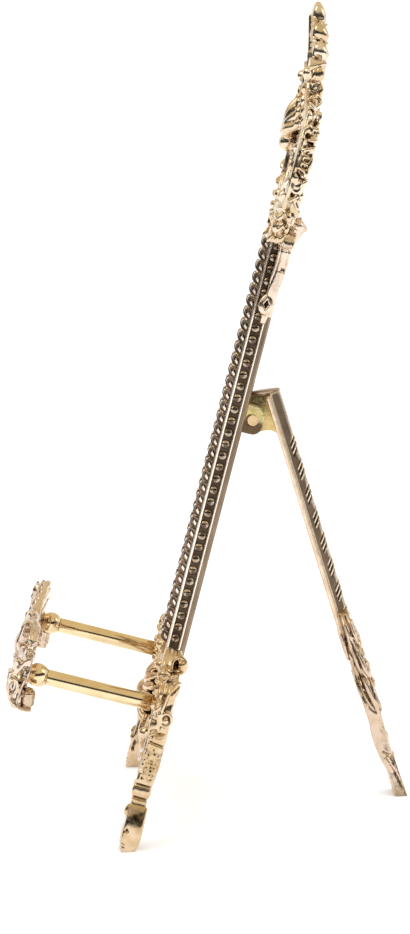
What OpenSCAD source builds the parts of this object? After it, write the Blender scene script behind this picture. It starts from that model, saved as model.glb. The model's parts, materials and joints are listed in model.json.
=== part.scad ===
// Ornate cast-brass album stand: a leaning frame with a scrolled base and crest, two pegs
// and a front cartouche that hold an open album, and a hinged rear leg.
// Millimetres. X is right seen from the front, Y runs to the back and Z is up.
// The soles stand on Z = 0 and the origin is under the middle of the whole stand.

/* [Stance] */
// Lean of the frame back from upright, degrees
lean = 16.7; // [12:0.1:20]
// Lean of the opened rear leg the other way, degrees
leg_lean = 14.9; // [13:0.1:17]
// Distance from the front soles back to the rear sole
stance = 87.2; // [84:0.1:90]
// Distance from the front soles forward to the origin's plane
origin_back = 25; // [23:0.1:27]

/* [Post] */
// Width of the post
post_w = 13; // [12:0.5:14]
// Top of the post, along the frame
post_top = 192; // [188:1:196]
// Bottom of the post, along the frame
post_bottom = 50; // [48:1:54]
// Distance from one pearl of a row to the next
pearl_pitch = 3.8; // [3.6:0.1:4.4]
// Diameter of the pearls on the front
pearl_d = 3.4; // [3:0.1:3.5]
// Diameter of the pearls in the side channels
side_pearl_d = 2.3; // [2:0.1:2.4]

/* [Feet and base] */
// Distance between the two front soles
feet_span = 101; // [96:1:106]
// Distance between the two pegs
peg_span = 80; // [76:1:84]
// Height of the pegs, along the frame
peg_u = 43.5; // [42:0.5:45]

/* [Pegs] */
// Diameter of a peg
peg_d = 5; // [4.5:0.1:5.5]
// Front end of a peg's rod, in front of the frame plane
peg_front = 37; // [34:0.5:42]
// Diameter of the ball collar in front of each peg
ball_d = 7.4; // [7:0.1:8]

/* [Hinge] */
// Height of the hinge pin, along the frame
pin_u = 132; // [128:1:136]
// Distance of the hinge pin behind the frame plane
pin_n = 6.5; // [6.3:0.1:6.8]
// Diameter of the hinge pin
pin_d = 3.4; // [3:0.1:3.6]

/* [Hidden] */
$fn = 48;

// Faces across the frame, measured along n: minus is to the front, plus to the back
face_n = -1.8;        // front face between the rails
rail_n = -2.4;        // front of the rails
back_n = 4;           // back of the post
cast_front = -3.6;    // front of the scrolls
cast_back = 2.6;      // back of the scrolls
half_w = post_w / 2;
strip_x = half_w - 2.2;          // middle of a front pearl strip
channel_x = half_w - 0.9;        // floor of a side channel
flank_x = half_w - 0.3;          // plain flank behind the channel
pearl_first = 58;
pearl_last = 188;
pearl_n = face_n - 1.4;          // centre of the front pearls
side_pearl_n = -0.2;             // centre of the side pearls
side_pearl_last = 160;

// Pegs and what they carry
peg_x = peg_span / 2;
neck_d = 3.8;
screw_d = 2.5;
screw_depth = 7;                 // how far a screw goes into the end of a peg
screw_head_d = 5.4;
slot_w = 0.7;                    // width of a screwdriver slot
stud_d = 3;
stud_len = 14;
stud_n = 0.8;
stud_end_gap = 0.5;
fit = 0.05;                      // radial clearance of every turned fit
peg_rear = -3.9;                 // rear shoulder of the rod
boss_n = -1.6;                   // front face of the boss that the neck seats on
ball_n = -(peg_front + 2.8);     // centre of a ball collar
plaque_back = -(peg_front + 5.7);
plaque_t = 3;
plaque_r = 380;                  // radius of the plaque's bow
plaque_mid = plaque_back - 2.1;  // back of the plaque in the middle
plaque_seat = plaque_back - 2.9; // flat under the head of a plaque screw

// Hinge
ear_r = 5;
ear_in = 2.3;
ear_out = 4.5;
tongue_half = 2;
tongue_r = 4.4;
pin_out = 5.2;
stop_gap = 0.3;
pocket_top = 138.6;
// Hinge pin in the leg's own frame: m to the back, v up along the leg
pin_y = pin_n * cos(lean) + pin_u * sin(lean) - stance;
pin_z = pin_u * cos(lean) - pin_n * sin(lean);
pin_m = pin_y * cos(leg_lean) + pin_z * sin(leg_lean);
pin_v = pin_z * cos(leg_lean) - pin_y * sin(leg_lean);
flange_front = -3.5;
flange_back = -1.8;
beam_back = 1.5;
leg_top = 138.3;

brass = "#d9b45b";
pale_brass = "#e8cf9a";
satin_brass = "#a98f66";

// ---- helpers ----------------------------------------------------------------

// Puts (x, n, u) of the leaning frame into the stand
module on_frame() {
    translate([0, -origin_back, 0]) rotate([-lean, 0, 0]) children();
}

// Puts (x, m, v) of the rear leg into the stand
module on_leg() {
    translate([0, stance - origin_back, 0]) rotate([leg_lean, 0, 0]) children();
}

// Stands an outline drawn as (x, u) between two n faces
module slab(n0, n1) {
    translate([0, n1, 0]) rotate([90, 0, 0]) linear_extrude(n1 - n0) children();
}

module both_sides() {
    children();
    mirror([1, 0, 0]) children();
}

// Everything under the ground
module below_ground() {
    translate([-150, -150, -40]) cube([300, 300, 40]);
}

// Turned piece along n, from n0 to n1
module rod(n0, n1, d) {
    translate([0, n0, 0]) rotate([-90, 0, 0]) cylinder(d = d, h = n1 - n0);
}

function unit(v) = v / norm(v);
function tail(list) = [for (i = [1:len(list) - 1]) list[i]];

// Cubic curve through the points of a smooth bend
function bend(a, b, c, d, steps = 9) = [
    for (i = [0:steps]) let (t = i / steps)
        pow(1 - t, 3) * a + 3 * pow(1 - t, 2) * t * b + 3 * (1 - t) * t * t * c + pow(t, 3) * d];

// Spiral about c whose radius runs from r0 to r1
function curl(c, r0, r1, a0, a1, steps = 12) = [
    for (i = [0:steps]) let (t = i / steps, a = a0 + (a1 - a0) * t)
        c + (r0 + (r1 - r0) * t) * [cos(a), sin(a)]];

// Direction square to a path at its point i
function across(path, i) =
    let (d = unit(path[min(i + 1, len(path) - 1)] - path[max(i - 1, 0)])) [-d[1], d[0]];

// Width along a path: w0 at its start, w1 at its end and swell more in the middle
function band_width(t, w0, w1, swell) = w0 + (w1 - w0) * t + swell * 4 * t * (1 - t);

// A ribbon of metal that follows a path
module band(path, w0, w1, swell = 0) {
    last = len(path) - 1;
    half = [for (i = [0:last]) band_width(i / last, w0, w1, swell) / 2];
    polygon(concat(
        [for (i = [0:last]) path[i] + across(path, i) * half[i]],
        [for (i = [last:-1:0]) path[i] - across(path, i) * half[i]]));
}

// ---- post -------------------------------------------------------------------

// Half-round reed that runs down the middle of the front
function reed(r) = [for (a = [180:-20:0]) [r * cos(a), face_n - r * 0.8 * sin(a)]];

module post_section() {
    right = [
        [half_w - 0.6, face_n], [half_w - 0.6, rail_n], [half_w, rail_n], [half_w, -1.5],
        [channel_x, -1.5], [channel_x, 1.7], [half_w, 1.7], [half_w, 2.3],
        [flank_x, 2.3], [flank_x, back_n - 0.4], [flank_x - 0.4, back_n]];
    left = [for (i = [len(right) - 1:-1:0]) [-right[i][0], right[i][1]]];
    polygon(concat(left, reed(2.1), right));
}

module side_pearls() {
    for (u = [pearl_first:pearl_pitch:side_pearl_last]) {
        translate([channel_x, side_pearl_n, u]) sphere(d = side_pearl_d, $fn = 24);
    }
}

module ear() {
    translate([ear_in, pin_n, pin_u]) rotate([0, 90, 0]) cylinder(r = ear_r, h = ear_out - ear_in);
    translate([ear_in, back_n - 1, pin_u - ear_r])
        cube([ear_out - ear_in, pin_n - back_n + 1, 2 * ear_r]);
}

module post() {
    color(pale_brass) on_frame() difference() {
        union() {
            translate([0, 0, post_bottom]) linear_extrude(post_top - post_bottom) post_section();
            both_sides() ear();
            both_sides() side_pearls();
        }
        translate([-ear_in, pin_n - tongue_r - 0.5, pin_u - ear_r - 0.6])
            cube([2 * ear_in, 2 * ear_r, pocket_top - pin_u + ear_r + 0.6]);
        translate([-20, pin_n, pin_u]) rotate([0, 90, 0]) cylinder(d = pin_d, h = 40);
        stud_hole(post_top);
        stud_hole(post_bottom);
    }
}

module stud_hole(u) {
    translate([0, stud_n, u - stud_len / 2 - stud_end_gap])
        cylinder(d = stud_d + 2 * fit, h = stud_len + 2 * stud_end_gap);
}

module stud(u) {
    translate([0, stud_n, u - stud_len / 2]) cylinder(d = stud_d, h = stud_len);
}

module post_stud() {
    color(brass) on_frame() stud(post_top);
}

module base_stud() {
    color(brass) on_frame() stud(post_bottom);
}

module pearl_strip() {
    translate([strip_x - 1.6, face_n - 0.6, pearl_first - 2])
        cube([3.2, 0.6, pearl_last - pearl_first + 4]);
    for (u = [pearl_first:pearl_pitch:pearl_last]) {
        translate([strip_x, pearl_n, u]) difference() {
            sphere(d = pearl_d, $fn = 32);
            translate([-5, face_n - 0.3 - pearl_n, -5]) cube(10);
        }
    }
}

module left_pearl_strip() {
    color(pale_brass) on_frame() mirror([1, 0, 0]) pearl_strip();
}

module right_pearl_strip() {
    color(pale_brass) on_frame() pearl_strip();
}

// ---- crest ------------------------------------------------------------------

crest_lower = concat(
    curl([13, 203], 2.6, 7, 20, 215),
    tail(bend([7.3, 199], [14, 190], [34, 200], [28, 221])),
    tail(bend([28, 221], [26.8, 225.4], [23.5, 228], [20.5, 229.8])));
crest_shoulder = concat(
    bend([24.4, 227.4], [18.5, 231], [13, 230.5], [12, 238]),
    tail(curl([16.4, 241], 5.4, 2.2, 214, 10)));
crest_inner = bend([6, 196], [1.5, 206], [12.5, 214], [8.6, 227]);
crest_inner_top = bend([8.8, 225.6], [6.5, 235], [1.6, 238], [1.6, 247]);
crest_upper = bend([10.8, 234], [15, 246], [12, 252], [2.5, 257]);
flower = [0, 228];
crest_tilt = 8;       // the top of the crest stands this much further forward
crest_tilt_u = 226;
finial_tilt = 6;      // and the leaf on top a little more
finial_u = 246;

// Leans what is above u forward by the angle
module leaning(angle, u) {
    translate([0, 0, u]) rotate([angle, 0, 0]) translate([0, 0, -u]) children();
}

module crest() {
    color(brass) on_frame() difference() {
        union() {
            slab(-3, cast_back) both_sides() band(crest_lower, 2.6, 4.6, 1.4);
            slab(-2.6, 2.2) both_sides() band(crest_inner, 3.6, 3.2);
            slab(rail_n, back_n) translate([-half_w, post_top]) square([post_w, 6]);
            slab(-3.2, 3.2) translate([-8, 196.5]) square([16, 5]);
            leaning(crest_tilt, crest_tilt_u) {
                slab(-3, 2.4) both_sides() band(crest_shoulder, 4.8, 2.4);
                slab(-2.4, 2.2) both_sides() band(crest_inner_top, 3.4, 3);
                slab(-2.6, 2.4) both_sides() band(crest_upper, 3.6, 4);
                slab(-3.2, 2.2) translate(flower) circle(r = 9);
                translate([0, -2.6, flower[1]]) sphere(r = 5);
                leaning(finial_tilt, finial_u) slab(-2.6, 2.2) finial();
            }
        }
        stud_hole(post_top);
    }
}

// Outline of the leaf at the very top
module finial() {
    polygon([
        [-2.4, 243], [-5.2, 250], [-5.6, 255], [-4, 260.5], [-1.8, 264.2],
        [1.8, 264.2], [4, 260.5], [5.6, 255], [5.2, 250], [2.4, 243]]);
}

leaf_path = concat(
    bend([8.6, 163], [11.5, 172], [8.6, 178], [10.8, 186.2]),
    tail(curl([15.3, 187.5], 4.8, 2.2, 195, 20)));

// Acanthus leaf on the flank of the post, whose tip rolls out to the back
module side_leaf() {
    slab(0.4, 4.4) band(leaf_path, 2.2, 2.2, 2);
    translate([flank_x, 2.4, 165]) cube([2.4, back_n - 2.4 - 0.1, 22]);
    translate([14.6, cast_back + 0.1, 194.4]) rotate([-90, 0, 0]) cylinder(r1 = 3.6, r2 = 2.2, h = 3.9);
}

module left_leaf() {
    color(pale_brass) on_frame() mirror([1, 0, 0]) side_leaf();
}

module right_leaf() {
    color(pale_brass) on_frame() side_leaf();
}

// ---- base and front legs ----------------------------------------------------

eye = [peg_x, peg_u];
eye_r = 4.6;
base_upper = concat(
    bend([33, 52], [29, 58.5], [22.5, 58], [20.8, 51.3]),
    tail(curl([16, 50.6], 4.8, 2.2, 8, -210)));
base_collar = bend([17.4, 46.4], [14, 43], [10, 45], [6, 46]);
base_middle = bend([32.5, 43.4], [25, 36], [20, 46], [9, 42]);
base_apron = concat(
    bend([47, 23], [41, 33], [31, 20], [21, 24]),
    tail(curl([22.4, 29.6], 5.6, 2.4, 255, 0)));
base_centre = bend([22, 24.2], [14, 19.5], [8, 29], [0.5, 24]);
base_link = bend([37, 36.5], [30.5, 35], [33.5, 30], [32.5, 23.5]);
base_drop = [[0, 17], [3, 20.5], [4.6, 25], [3.4, 30], [-3.4, 30], [-4.6, 25], [-3, 20.5]];

module base() {
    color(brass) on_frame() difference() {
        union() {
            slab(cast_front + 0.4, cast_back) both_sides() band(base_upper, 3.8, 2.2, 0.6);
            slab(cast_front + 0.8, cast_back - 0.4) both_sides() band(base_middle, 3.4, 3.8);
            slab(cast_front + 0.8, cast_back - 0.4) both_sides() band(base_apron, 3.4, 2.2, 0.6);
            slab(cast_front + 0.8, cast_back - 0.4) both_sides() band(base_centre, 3, 3.4);
            slab(rail_n - 0.6, back_n) translate([-half_w, 30]) square([post_w, post_bottom - 30]);
            slab(-4.2, cast_back) translate([0, 38]) circle(r = 11);
            translate([0, -2.2, 38]) sphere(r = 6);
            slab(cast_front + 0.6, cast_back - 0.2) both_sides() band(base_collar, 3.4, 4);
            slab(cast_front + 0.2, cast_back - 0.2) polygon(base_drop);
            slab(cast_front + 1, cast_back - 0.6) both_sides() band(base_link, 3, 3);
        }
        stud_hole(post_bottom);
        both_sides() slab(-8, 8) {
            band(leg_path, 8.4, 2.6, -0.2);
            translate(eye) circle(r = eye_r + 2);
        }
    }
}

leg_path = concat(
    bend([feet_span / 2, 0], [44.5, 15], [51.5, 26], [49.9, 40]),
    tail(curl(eye, 10, 5.7, -18, 285, 20)));

module front_leg() {
    difference() {
        on_frame() difference() {
            union() {
                slab(cast_front, cast_back) band(leg_path, 8.4, 2.6, -0.2);
                slab(boss_n, cast_back) translate(eye) circle(r = eye_r);
            }
            translate([peg_x, 0, peg_u]) {
                rod(-10, 10, screw_d + 2 * fit);
                rear_screw_head(2 * fit);
            }
        }
        below_ground();
        toe_cut();
    }
}

// Rounds the toe and heel of a front sole
module toe_cut() {
    translate([0, -origin_back - 1.7, 0]) rotate([-38, 0, 0]) translate([0, -20, -20]) cube([90, 20, 20.01]);
}

module left_front_leg() {
    color(brass) mirror([1, 0, 0]) front_leg();
}

module right_front_leg() {
    color(brass) front_leg();
}

// ---- pegs and plaque --------------------------------------------------------

module peg() {
    translate([peg_x, 0, peg_u]) difference() {
        union() {
            rod(-peg_front, peg_rear, peg_d);
            rod(peg_rear - 0.5, boss_n, neck_d);
        }
        rod(boss_n - screw_depth - 1, boss_n + 1, screw_d + 2 * fit);
        rod(-peg_front - 1, -peg_front + screw_depth + 1, screw_d + 2 * fit);
    }
}

// Countersunk head of a rear screw, flush with the back of the boss
module rear_screw_head(grow = 0) {
    depth = (screw_head_d - screw_d) / 2;
    translate([0, cast_back - depth, 0]) rotate([-90, 0, 0])
        cylinder(d1 = screw_d + grow, d2 = screw_head_d + grow, h = depth + grow / 20);
}

module left_peg() {
    color(brass) on_frame() mirror([1, 0, 0]) peg();
}

module right_peg() {
    color(brass) on_frame() peg();
}

module ball_collar() {
    translate([peg_x, 0, peg_u]) difference() {
        intersection() {
            translate([0, ball_n, 0]) sphere(d = ball_d);
            rod(plaque_back, -peg_front, ball_d + 2);
        }
        rod(plaque_back - 1, -peg_front + 1, screw_d + 2 * fit);
    }
}

module left_ball_collar() {
    color(brass) on_frame() mirror([1, 0, 0]) ball_collar();
}

module right_ball_collar() {
    color(brass) on_frame() ball_collar();
}

// Flat countersunk screws that hold the pegs from behind
module peg_screws() {
    color(brass) on_frame() both_sides() translate([peg_x, 0, peg_u]) difference() {
        union() {
            rod(boss_n - screw_depth, cast_back - 0.5, screw_d);
            rear_screw_head();
        }
        translate([-slot_w / 2, cast_back - 0.6, -5]) cube([slot_w, 2, 10]);
    }
}

plaque_scroll = bend([37, 51.4], [30, 60], [18, 48], [9, 55]);
plaque_ring_r = 8.2;

module plaque_outline() {
    both_sides() {
        band(plaque_scroll, 3.4, 4);
        translate([0, 2 * peg_u]) mirror([0, 1]) band(plaque_scroll, 3.4, 4);
        translate(eye) circle(r = plaque_ring_r);
        translate([21, peg_u]) square([26, 4], center = true);
    }
    translate([0, peg_u]) circle(r = 13.5);
    translate([-2.6, peg_u - 21.5]) square([5.2, 43]);
}

module plaque() {
    color(pale_brass) on_frame() difference() {
        union() {
            intersection() {
                slab(plaque_mid - plaque_t - 6, plaque_back + 6) plaque_outline();
                translate([0, plaque_mid + plaque_r, 0]) difference() {
                    cylinder(r = plaque_r + plaque_t, h = 90, $fn = 256);
                    translate([0, 0, -1]) cylinder(r = plaque_r, h = 92, $fn = 256);
                }
            }
            translate([0, plaque_mid + 4.6, peg_u]) difference() {
                sphere(r = 10.6, $fn = 64);
                translate([-20, -5.6, -20]) cube(40);
            }
        }
        both_sides() translate([peg_x, 0, peg_u]) {
            rod(-60, -30, screw_d + 2 * fit);
            rod(plaque_back, -30, ball_d + 1.2);
            rod(-60, plaque_seat, ball_d);
        }
    }
}

// Domed screws that hold the cartouche and the ball collars to the pegs
module plaque_screws() {
    color(brass) on_frame() both_sides() translate([peg_x, 0, peg_u]) {
        intersection() {
            translate([0, plaque_seat + 1.4, 0]) sphere(r = 3.6);
            rod(plaque_seat - 6, plaque_seat, 9);
        }
        rod(plaque_seat - 0.5, -peg_front + screw_depth, screw_d);
    }
}

// ---- rear leg ---------------------------------------------------------------

module hinge_pin() {
    color(brass) on_frame() translate([-pin_out, pin_n, pin_u]) rotate([0, 90, 0])
        cylinder(d = pin_d - 0.02, h = 2 * pin_out);
}

// Nose of the tongue, which meets the back of the post when the leg is open
nose_n = back_n + stop_gap;
nose_u = 140;
nose_y = nose_n * cos(lean) + nose_u * sin(lean) - stance;
nose_z = nose_u * cos(lean) - nose_n * sin(lean);
nose_m = nose_y * cos(leg_lean) + nose_z * sin(leg_lean);
nose_v = nose_z * cos(leg_lean) - nose_y * sin(leg_lean);

// Outline drawn as (m, v) given thickness across the leg
module leg_web(half) {
    rotate([90, 0, 90]) translate([0, 0, -half]) linear_extrude(2 * half) children();
}

module tongue() {
    leg_web(tongue_half) {
        translate([pin_m, pin_v]) circle(r = tongue_r);
        polygon([
            [flange_front + 0.5, pin_v - 6], [flange_front, pin_v - 5.4], [pin_m, pin_v - tongue_r + 0.05],
            [pin_m - tongue_r * cos(28) + 0.3, pin_v + tongue_r * sin(28)],
            [nose_m, nose_v], [flange_front, leg_top], [flange_front + 0.5, leg_top]]);
    }
}

leg_scroll = bend([2.4, 63], [11, 58], [9.5, 46], [3, 40]);
leg_lower = bend([3.2, 42], [8.5, 36], [6.5, 28], [2.2, 22]);

module rear_leg() {
    color(pale_brass) difference() {
        on_leg() difference() {
            union() {
                tongue();
                translate([-4, flange_front, 18]) cube([8, flange_back - flange_front, leg_top - 18]);
                translate([-3.1, flange_back - 0.2, 18])
                    cube([6.2, beam_back - flange_back + 0.2, leg_top - 18]);
                slab(-3.2, 2.8) both_sides() band(leg_scroll, 3.2, 3.6);
                slab(-3, 2.2) both_sides() band(leg_lower, 3.4, 3.2);
                slab(-1.9, 2.2) polygon([
                    [-3.2, 24], [-3.6, 14], [-5, 5], [-5, -3], [5, -3], [5, 5], [3.6, 14], [3.2, 24]]);
            }
            translate([-20, pin_m, pin_v]) rotate([0, 90, 0]) cylinder(d = pin_d + 2 * fit, h = 40);
        }
        below_ground();
    }
}

// ---- drawing ----------------------------------------------------------------

post();
left_pearl_strip();
right_pearl_strip();
post_stud();
base_stud();
crest();
left_leaf();
right_leaf();
base();
left_front_leg();
right_front_leg();
left_peg();
right_peg();
left_ball_collar();
right_ball_collar();
peg_screws();
plaque();
plaque_screws();
hinge_pin();
rear_leg();
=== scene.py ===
"""Looks of the cast-brass album stand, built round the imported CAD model.

Lengths in the shaping code are millimetres in two working planes: the leaning frame has
(x, n, u), with n to the back and u up along it, and the rear leg has (x, m, v) in the same
way. Both are turned into the row's frame, in metres, when a piece is made.
"""

import json
import math

import bmesh
import bpy
import numpy as np
from mathutils import Matrix, Vector, noise


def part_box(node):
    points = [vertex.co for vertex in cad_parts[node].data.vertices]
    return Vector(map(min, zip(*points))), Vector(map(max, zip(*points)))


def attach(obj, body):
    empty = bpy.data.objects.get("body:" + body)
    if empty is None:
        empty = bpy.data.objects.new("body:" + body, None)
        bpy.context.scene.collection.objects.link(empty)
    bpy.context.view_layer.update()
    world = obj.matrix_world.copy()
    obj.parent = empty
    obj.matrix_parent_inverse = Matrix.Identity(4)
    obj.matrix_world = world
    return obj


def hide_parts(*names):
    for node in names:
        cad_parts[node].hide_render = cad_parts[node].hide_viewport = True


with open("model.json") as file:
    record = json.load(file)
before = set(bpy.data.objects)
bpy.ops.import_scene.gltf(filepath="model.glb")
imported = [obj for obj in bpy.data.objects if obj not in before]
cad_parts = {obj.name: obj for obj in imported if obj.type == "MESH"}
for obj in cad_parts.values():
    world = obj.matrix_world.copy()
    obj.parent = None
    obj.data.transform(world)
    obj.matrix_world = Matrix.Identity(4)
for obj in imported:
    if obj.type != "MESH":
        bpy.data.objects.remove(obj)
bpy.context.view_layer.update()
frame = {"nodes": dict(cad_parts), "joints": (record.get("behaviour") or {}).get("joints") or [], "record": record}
record = frame["record"]

MM = 0.001
LEAN = math.radians(16.7)        # lean of the frame
LEG_LEAN = math.radians(14.9)    # lean of the open rear leg


def mount_place(name):
    return Vector(next(m["pos_m"] for m in record["mounts"] if m["name"] == name))


def middle(node):
    low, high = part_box(node)
    return (low + high) / 2


SOLE_AHEAD = 0.2                 # a front sole's middle is this far in front of its plane
FRAME_PLACE = Matrix.Translation((0, mount_place("right_sole").y + SOLE_AHEAD * MM, 0)) \
    @ Matrix.Rotation(-LEAN, 4, "X")
LEG_PLACE = Matrix.Translation((0, mount_place("rear_sole").y, 0)) \
    @ Matrix.Rotation(LEG_LEAN, 4, "X")


def in_frame(point):
    """(x, n, u) in millimetres of a point in the row's frame."""
    return (FRAME_PLACE.inverted() @ Vector(point)) / MM


def on_leg(point):
    """(x, m, v) in millimetres of a point in the row's frame."""
    return (LEG_PLACE.inverted() @ Vector(point)) / MM


PEG_X = middle("right_peg").x / MM
PIN_AT = in_frame(frame["joints"][0]["pos_m"])
PIN_ON_LEG = on_leg(frame["joints"][0]["pos_m"])
PEG_U = 43.5
SCREW_HOLE_R = 1.35              # clears the screws of the pegs and the plaque
SIDES = ((-1, "left"), (1, "right"))
FEET_X = mount_place("right_sole").x / MM


# ---- curves -----------------------------------------------------------------

def bend(a, b, c, d, steps=24):
    """Cubic curve, as rows of (x, u)."""
    t = np.linspace(0, 1, steps + 1)[:, None]
    a, b, c, d = (np.array(p, float) for p in (a, b, c, d))
    return (1 - t) ** 3 * a + 3 * (1 - t) ** 2 * t * b + 3 * (1 - t) * t ** 2 * c + t ** 3 * d


def curl(centre, r0, r1, a0, a1, steps=36):
    """Spiral about a centre whose radius runs from r0 to r1, as rows of (x, u)."""
    t = np.linspace(0, 1, steps + 1)
    a = np.radians(a0 + (a1 - a0) * t)
    r = r0 + (r1 - r0) * t
    return np.array(centre, float) + np.stack([r * np.cos(a), r * np.sin(a)], 1)


def chain(*parts):
    return np.vstack([parts[0]] + [p[1:] for p in parts[1:]])


def swelling(start, end, swell=0.0):
    """Width along a path: start, end and how much more in the middle."""
    return lambda t: start + (end - start) * t + swell * 4 * t * (1 - t)


def constant(value):
    return lambda t: value


def upright(start, end, count):
    """Straight path in the middle plane, from one height to another."""
    return np.array([[0, u] for u in np.linspace(start, end, count)])


def spoke(centre, angle, reaches):
    """Straight rib out of a centre, given by four distances from it."""
    return bend(*([centre[0] + r * math.cos(angle), centre[1] + r * math.sin(angle)] for r in reaches), 8)


def directions(path):
    """Unit vectors along a path."""
    step = np.gradient(path, axis=0)
    return step / np.maximum(np.linalg.norm(step, axis=1), 1e-9)[:, None]


def sideways(step):
    """The same vectors turned a quarter to the left."""
    return np.stack([-step[:, 1], step[:, 0]], 1)


# Sections of a ribbon as (s, t): s across it and t from the front, -1, to the back, +1
ROUND = [(math.cos(math.tau * i / 14), math.sin(math.tau * i / 14)) for i in range(14)]
FLUTED = [
    (-0.75, 1), (0.75, 1), (0.95, 0.8), (1, 0.3), (0.86, 0.05), (0.88, -0.2), (1.08, -0.36),
    (1.02, -0.62), (0.9, -0.95), (0.68, -1), (0.5, -0.8), (0.25, -0.45), (0, -0.34),
    (-0.25, -0.45), (-0.5, -0.8), (-0.68, -1), (-0.9, -0.95), (-1.02, -0.62),
    (-1.08, -0.36), (-0.88, -0.2), (-0.86, 0.05), (-1, 0.3), (-0.95, 0.8)]
RIBBED = [
    (-0.8, 1), (0.8, 1), (1, 0.7), (1, -0.3), (0.85, -0.7), (0.6, -0.6), (0.42, -0.45),
    (0.22, -0.85), (0, -1), (-0.22, -0.85), (-0.42, -0.45), (-0.6, -0.6), (-0.85, -0.7),
    (-1, -0.3), (-1, 0.7)]
FLAT = [
    (-0.85, 1), (0.85, 1), (1, 0.85), (1, -0.85), (0.85, -1), (-0.85, -1), (-1, -0.85),
    (-1, 0.85)]


class Mould:
    """Collects overlapping closed shapes, in millimetres, that are cast as one piece."""

    def __init__(self, bow=None):
        self.points = []
        self.faces = []
        self.count = 0
        self.bow = bow           # how far the work is set back at (x, u), if it isn't flat

    def add(self, points, faces):
        points = np.array(points, float)
        if self.bow is not None:
            points[:, 1] += self.bow(points[:, 0], points[:, 2])
        self.points.append(points)
        self.faces += [[i + self.count for i in f] for f in faces]
        self.count += len(points)

    def rings(self, rings, caps):
        """Skins a list of rings of points, with a point that closes each end."""
        k = len(rings[0])
        points = np.vstack([np.array(rings).reshape(-1, 3), caps])
        faces = []
        for i in range(len(rings) - 1):
            for j in range(k):
                a, b = i * k + j, i * k + (j + 1) % k
                faces.append([a, b, b + k, a + k])
        first, last = len(points) - 2, len(points) - 1
        end = (len(rings) - 1) * k
        for j in range(k):
            faces.append([(j + 1) % k, j, first])
            faces.append([end + j, end + (j + 1) % k, last])
        self.add(points, faces)

    def ribbon(self, path, width, depth, mid=constant(0), section=FLUTED, cap=0.5):
        """A band of metal along a path in (x, u), whose middle is at n = mid."""
        step = directions(path)
        side = sideways(step)
        section = np.array(section)
        rings = []
        for i, point in enumerate(path):
            t = i / (len(path) - 1)
            across = point + np.outer(section[:, 0] * width(t) / 2, side[i])
            deep = mid(t) + section[:, 1] * depth(t) / 2
            rings.append(np.stack([across[:, 0], deep, across[:, 1]], 1))
        tips = []
        for i, sign, t in ((0, -1, 0), (-1, 1, 1)):
            tip = path[i] + sign * step[i] * width(t) * cap
            tips.append([tip[0], mid(t), tip[1]])
        self.rings(rings, tips)

    def tube(self, path, radius):
        """Round bar along a path of (x, n, u) points."""
        path = np.array(path, float)
        step = directions(path)
        up = np.array([0.3, 0.9, 0.1])
        rings = []
        for i, point in enumerate(path):
            t = i / (len(path) - 1)
            a = np.cross(step[i], up)
            a /= np.linalg.norm(a)
            b = np.cross(step[i], a)
            rings.append([point + radius(t) * (c * a + s * b) for c, s in ROUND])
        self.rings(rings, [path[0] - step[0] * radius(0) * 0.6, path[-1] + step[-1] * radius(1) * 0.6])

    def lump(self, centre, axes, radii, tip=0.0):
        """Ellipsoid with its radii along three axes; tip > 0 makes the end of the first one pointed."""
        rows, columns = 10, 16
        along, across, deep = (np.array(a, float) for a in axes)
        centre = np.array(centre, float)
        rings = []
        for i in range(1, rows):
            a = math.pi * i / rows
            reach = -math.cos(a)
            wide = math.sin(a) * (1 - tip * max(reach, 0))
            spokes = [math.tau * j / columns for j in range(columns)]
            rings.append([centre + along * radii[0] * reach + across * radii[1] * wide * math.cos(b)
                          + deep * radii[2] * wide * math.sin(b) for b in spokes])
        self.rings(rings, [centre - along * radii[0], centre + along * radii[0]])

    def blob(self, centre, radii, turn=0.0, tip=0.0):
        """Lump turned by an angle in the (x, u) plane, with its third radius along n."""
        c, s = math.cos(math.radians(turn)), math.sin(math.radians(turn))
        self.lump(centre, ((c, 0, s), (-s, 0, c), (0, 1, 0)), radii, tip)

    def boss(self, centre, radii, turn=0.0, tip=0.0):
        """Lump on a side face, turned by an angle in the (n, u) plane, with its third radius along x."""
        c, s = math.cos(math.radians(turn)), math.sin(math.radians(turn))
        self.lump(centre, ((0, c, s), (0, -s, c), (1, 0, 0)), radii, tip)

    def strap(self, path, x0, x1, thick):
        """Band that follows a path of (n, u) points and is as wide as from x0 to x1."""
        off = sideways(directions(path))
        rings = []
        for i, point in enumerate(path):
            half = thick(i / (len(path) - 1)) / 2
            rings.append([[(x0 + x1) / 2 + s * (x1 - x0) / 2, *(point + off[i] * t * half)] for s, t in FLAT])
        middle_x = (x0 + x1) / 2
        self.rings(rings, [[middle_x, *path[0]], [middle_x, *path[-1]]])

    def hoop(self, x, centre, radii, turn=0.0, thick=0.9, reach=1.6):
        """Oval ring that stands out of a side face at (n, u)."""
        a = np.linspace(0, math.tau, 33)
        c, s = math.cos(math.radians(turn)), math.sin(math.radians(turn))
        along, across = radii[0] * np.cos(a), radii[1] * np.sin(a)
        path = np.stack([centre[0] + along * c - across * s, centre[1] + along * s + across * c], 1)
        self.strap(path, x - reach, x, constant(thick))

    def bar(self, x, start, end, radius=0.55):
        """Short round bar on a side face between two (n, u) points."""
        path = [[x, *(np.array(start) + (np.array(end) - start) * t)] for t in np.linspace(0, 1, 6)]
        self.tube(path, constant(radius))

    def side_profile(self):
        """Function that gives how far out along x the shapes so far reach at height u."""
        points = np.vstack(self.points)
        return lambda u: points[np.abs(points[:, 2] - u) < 0.9, 0].max()

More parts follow.
